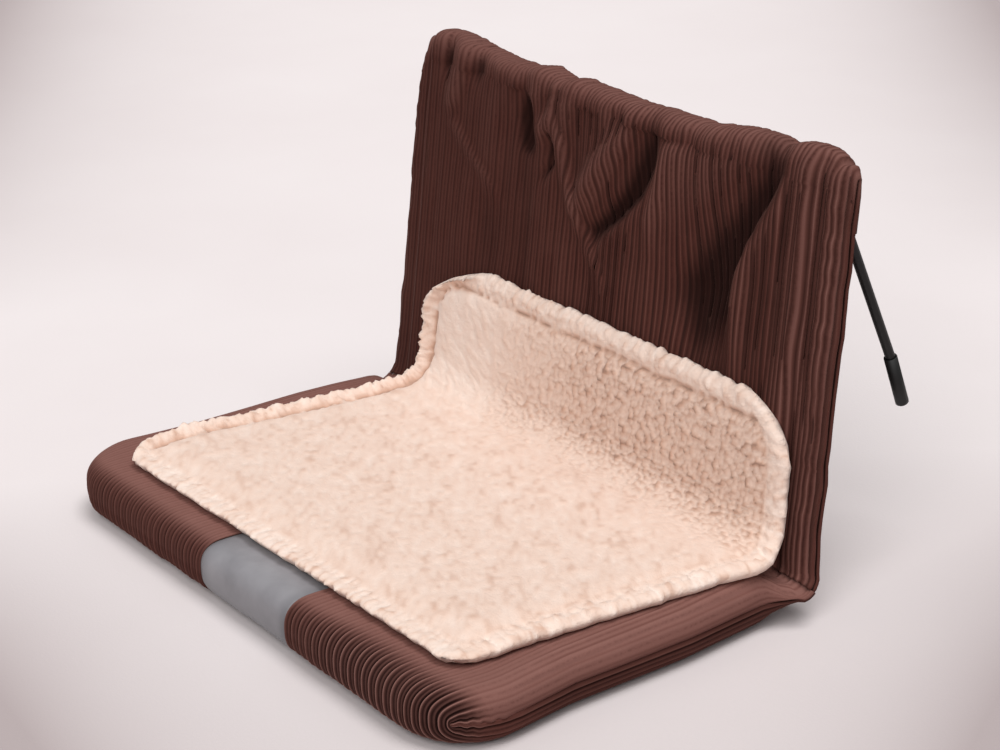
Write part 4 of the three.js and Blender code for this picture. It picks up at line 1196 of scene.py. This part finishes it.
FOAM_SLIMMER = 3.4  # keeps the foam clear of the ribs' valleys
FOAM_CORNER_GAP = 12
FOAM_END_X = CORNER_X - FOAM_CORNER_GAP
FOAM_ROWS = 60


def sweep(path, half_width, half_height):
    """Oval rings round a path of points."""
    angle = np.linspace(0, 2 * math.pi, 40, endpoint=False)
    step = np.gradient(path, axis=0)
    up = np.array([0, 0, 1])
    rings = []
    for at, ahead in zip(path, step / np.linalg.norm(step, axis=1, keepdims=True)):
        side = np.cross(ahead, up)
        side /= np.linalg.norm(side)
        across = np.outer(half_width * np.cos(angle), side)
        rings.append(at + across + np.outer(half_height * np.sin(angle), up))
    return np.array(rings)


def tube(path, bore_path):
    bore = ROD / 2 + GAP
    outer = sweep(path, HALF_BAR - CLOTH - FOAM_SLIMMER, HALF_HEIGHT - CLOTH - FOAM_SLIMMER)
    inner = sweep(bore_path, bore, bore)
    loop = np.concatenate([outer, inner[::-1], outer[:1]])
    return np.concatenate([loop, loop[:, :1]], axis=1)


def side_path(side, outer):
    """Path of a side tube from the front bar round the corner to its rear end, or the path of its bore."""
    radius = CORNER - HALF_BAR
    reach = SEAT_WIDTH / 2 - HALF_BAR if outer else FRAME_X
    start = np.linspace(FOAM_END_X, reach - radius, 6)[:-1]
    angle = np.linspace(0, math.pi / 2, 14)
    rear = np.linspace(HALF_BAR + radius, FOAM_END_Y, FOAM_ROWS)[1:]
    beside = bar_half_width(rear) - HALF_BAR if outer else np.full(len(rear), reach)
    x = np.concatenate([start, reach - radius + radius * np.sin(angle), beside])
    y = np.concatenate([0 * start + HALF_BAR, HALF_BAR + radius * (1 - np.cos(angle)), rear])
    return stack(side * x, y, HALF_HEIGHT)


def foam_tubes():
    front = stack(np.linspace(GAP - FOAM_END_X, FOAM_END_X - GAP, FOAM_ROWS), HALF_BAR, HALF_HEIGHT)
    paths = {"front": (front, front)}
    for side, name in ((-1, "left"), (1, "right")):
        paths[name] = side_path(side, True), side_path(side, False)
    for name, (path, bore_path) in paths.items():
        grid = squeezed(tube(path, bore_path), 1.5 * CORNER_SQUEEZE)
        flip = path[-1, 0] < path[0, 0]
        obj = piece(f"foam_{name}_tube", grid, quads_of(*grid.shape[:2], flip=flip), "frame", "foam")
        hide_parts(f"foam_{name}")


# Rods, sleeves and closure strips keep their CAD shape

def finish_cad_nodes():
    looks = {
        "coated_steel": ("frame_loop", "rear_cross_rod", "hook_rod_left", "hook_rod_right"),
        "tip_vinyl": ("hook_tip_left", "hook_tip_right"),
        "closure_tape": ("closure_loop_strip", "closure_hook_strip"),
    }
    for look, name in [(look, name) for look, names in looks.items() for name in names]:
        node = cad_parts[name]
        node.data.materials.clear()
        node.data.materials.append(MATERIALS[look])
        if look != "closure_tape":
            weld = node.modifiers.new("weld", "WELD")
            weld.merge_threshold = 0.00001
            node.data.polygons.foreach_set("use_smooth", [True] * len(node.data.polygons))


# Camera, floor and light

CAMERA_PLACE = (1.2722, -0.8209, 0.7440)
CAMERA_YAW, CAMERA_PITCH, CAMERA_ROLL = -0.95770, 0.38537, -0.03608
CAMERA_LENS = 89.75


def camera():
    data = bpy.data.cameras.new("camera")
    data.sensor_width = 36
    data.lens = CAMERA_LENS
    obj = added("camera", data)
    level = Matrix.Rotation(-CAMERA_YAW, 4, "Z") @ Matrix.Rotation(math.pi / 2 - CAMERA_PITCH, 4, "X")
    obj.matrix_world = Matrix.Translation(CAMERA_PLACE) @ level @ Matrix.Rotation(CAMERA_ROLL, 4, "Z")
    bpy.context.scene.camera = obj


# The floor's colour darkens, as painted shade, nearer than the first of these distances from the camera's
# foot, and beside the view beyond the second. The other two say how fast.
FLOOR_NEAR = 1.66
FLOOR_FAR = 2.0
NEAR_SLOPE = 0.6
FAR_SLOPE = 0.64
FLOOR_DARKEST = 0.72
FLOOR_TURN = math.radians(54.87)
FLOOR_START = CAMERA_PLACE[:2]
FLOOR_HALF = 6
FLOOR_PALE = (229, 220, 220)
FLOOR_PALEST = (237, 230, 230)
FLOOR_GRAIN = (214, 203, 203)
FLOOR_DARK = (150, 134, 134)


def floor():
    n = Nodes("floor")
    split = n.add("ShaderNodeSeparateXYZ")
    n.feed(split.inputs[0], n.place(turn=FLOOR_TURN, shift=FLOOR_START))
    side, ahead = split.outputs["X"], split.outputs["Y"]
    spread = n.math("DIVIDE", side, n.math("MAXIMUM", ahead, 0.5))
    aside = n.math("POWER", n.math("MULTIPLY", n.math("ABSOLUTE", spread), 5.0), 4.0)
    near = n.math("MULTIPLY", n.math("SUBTRACT", FLOOR_NEAR, ahead), NEAR_SLOPE, clamp=True)
    far = n.math("MULTIPLY", n.math("SUBTRACT", ahead, FLOOR_FAR), FAR_SLOPE, clamp=True)
    share = n.math("ADD", far, n.math("MULTIPLY", near, 1.5))
    # Painted shade towards the near edge and the sides of the view
    dark = n.math("MINIMUM", n.math("ADD", n.math("MULTIPLY", aside, share), near), FLOOR_DARKEST)
    grain = n.noise(2.2, 3)
    pale = n.blend(n.noise(260, 3), FLOOR_PALE, FLOOR_PALEST)
    fine = n.blend(n.math("MULTIPLY", grain, 0.12), pale, FLOOR_GRAIN)
    n.set(Base_Color=n.blend(dark, fine, FLOOR_DARK), Roughness=0.9)
    n.bump(grain, 0.3, 0.4)
    mesh = bpy.data.meshes.new("floor")
    corners = [(FLOOR_HALF * x, FLOOR_HALF * y, 0) for x, y in ((-1, -1), (1, -1), (1, 1), (-1, 1))]
    mesh.from_pydata(corners, [], [(0, 1, 2, 3)])
    mesh.materials.append(n.material)
    obj = added("floor", mesh)
    obj.location.z = -0.001


# Each sun's direction from the object, its strength, and its width in degrees
SUNS = {"overhead": ((0.25, 0.10, 1.0), 1.60, 34), "front": ((0.70, -0.95, 1.1), 1.54, 40)}
ROOM_COLOUR = (1.0, 0.98, 0.975, 1)
ROOM_STRENGTH = 0.30


def light():
    for name, (direction, strength, angle) in SUNS.items():
        data = bpy.data.lights.new(name, "SUN")
        data.energy = strength
        data.angle = math.radians(angle)
        obj = added(name, data)
        obj.rotation_mode = "QUATERNION"
        obj.rotation_quaternion = Vector(direction).to_track_quat("Z", "Y")
    world = bpy.data.worlds.new("room")
    world.use_nodes = True
    background = world.node_tree.nodes["Background"]
    background.inputs["Color"].default_value = ROOM_COLOUR
    background.inputs["Strength"].default_value = ROOM_STRENGTH
    bpy.context.scene.world = world


camera()
light()
floor()
seat = seat_cover()
band = grey_band()
back = back_cover()
mat()
foam_tubes()
finish_cad_nodes()

bpy.context.scene.view_settings.view_transform = "Standard"
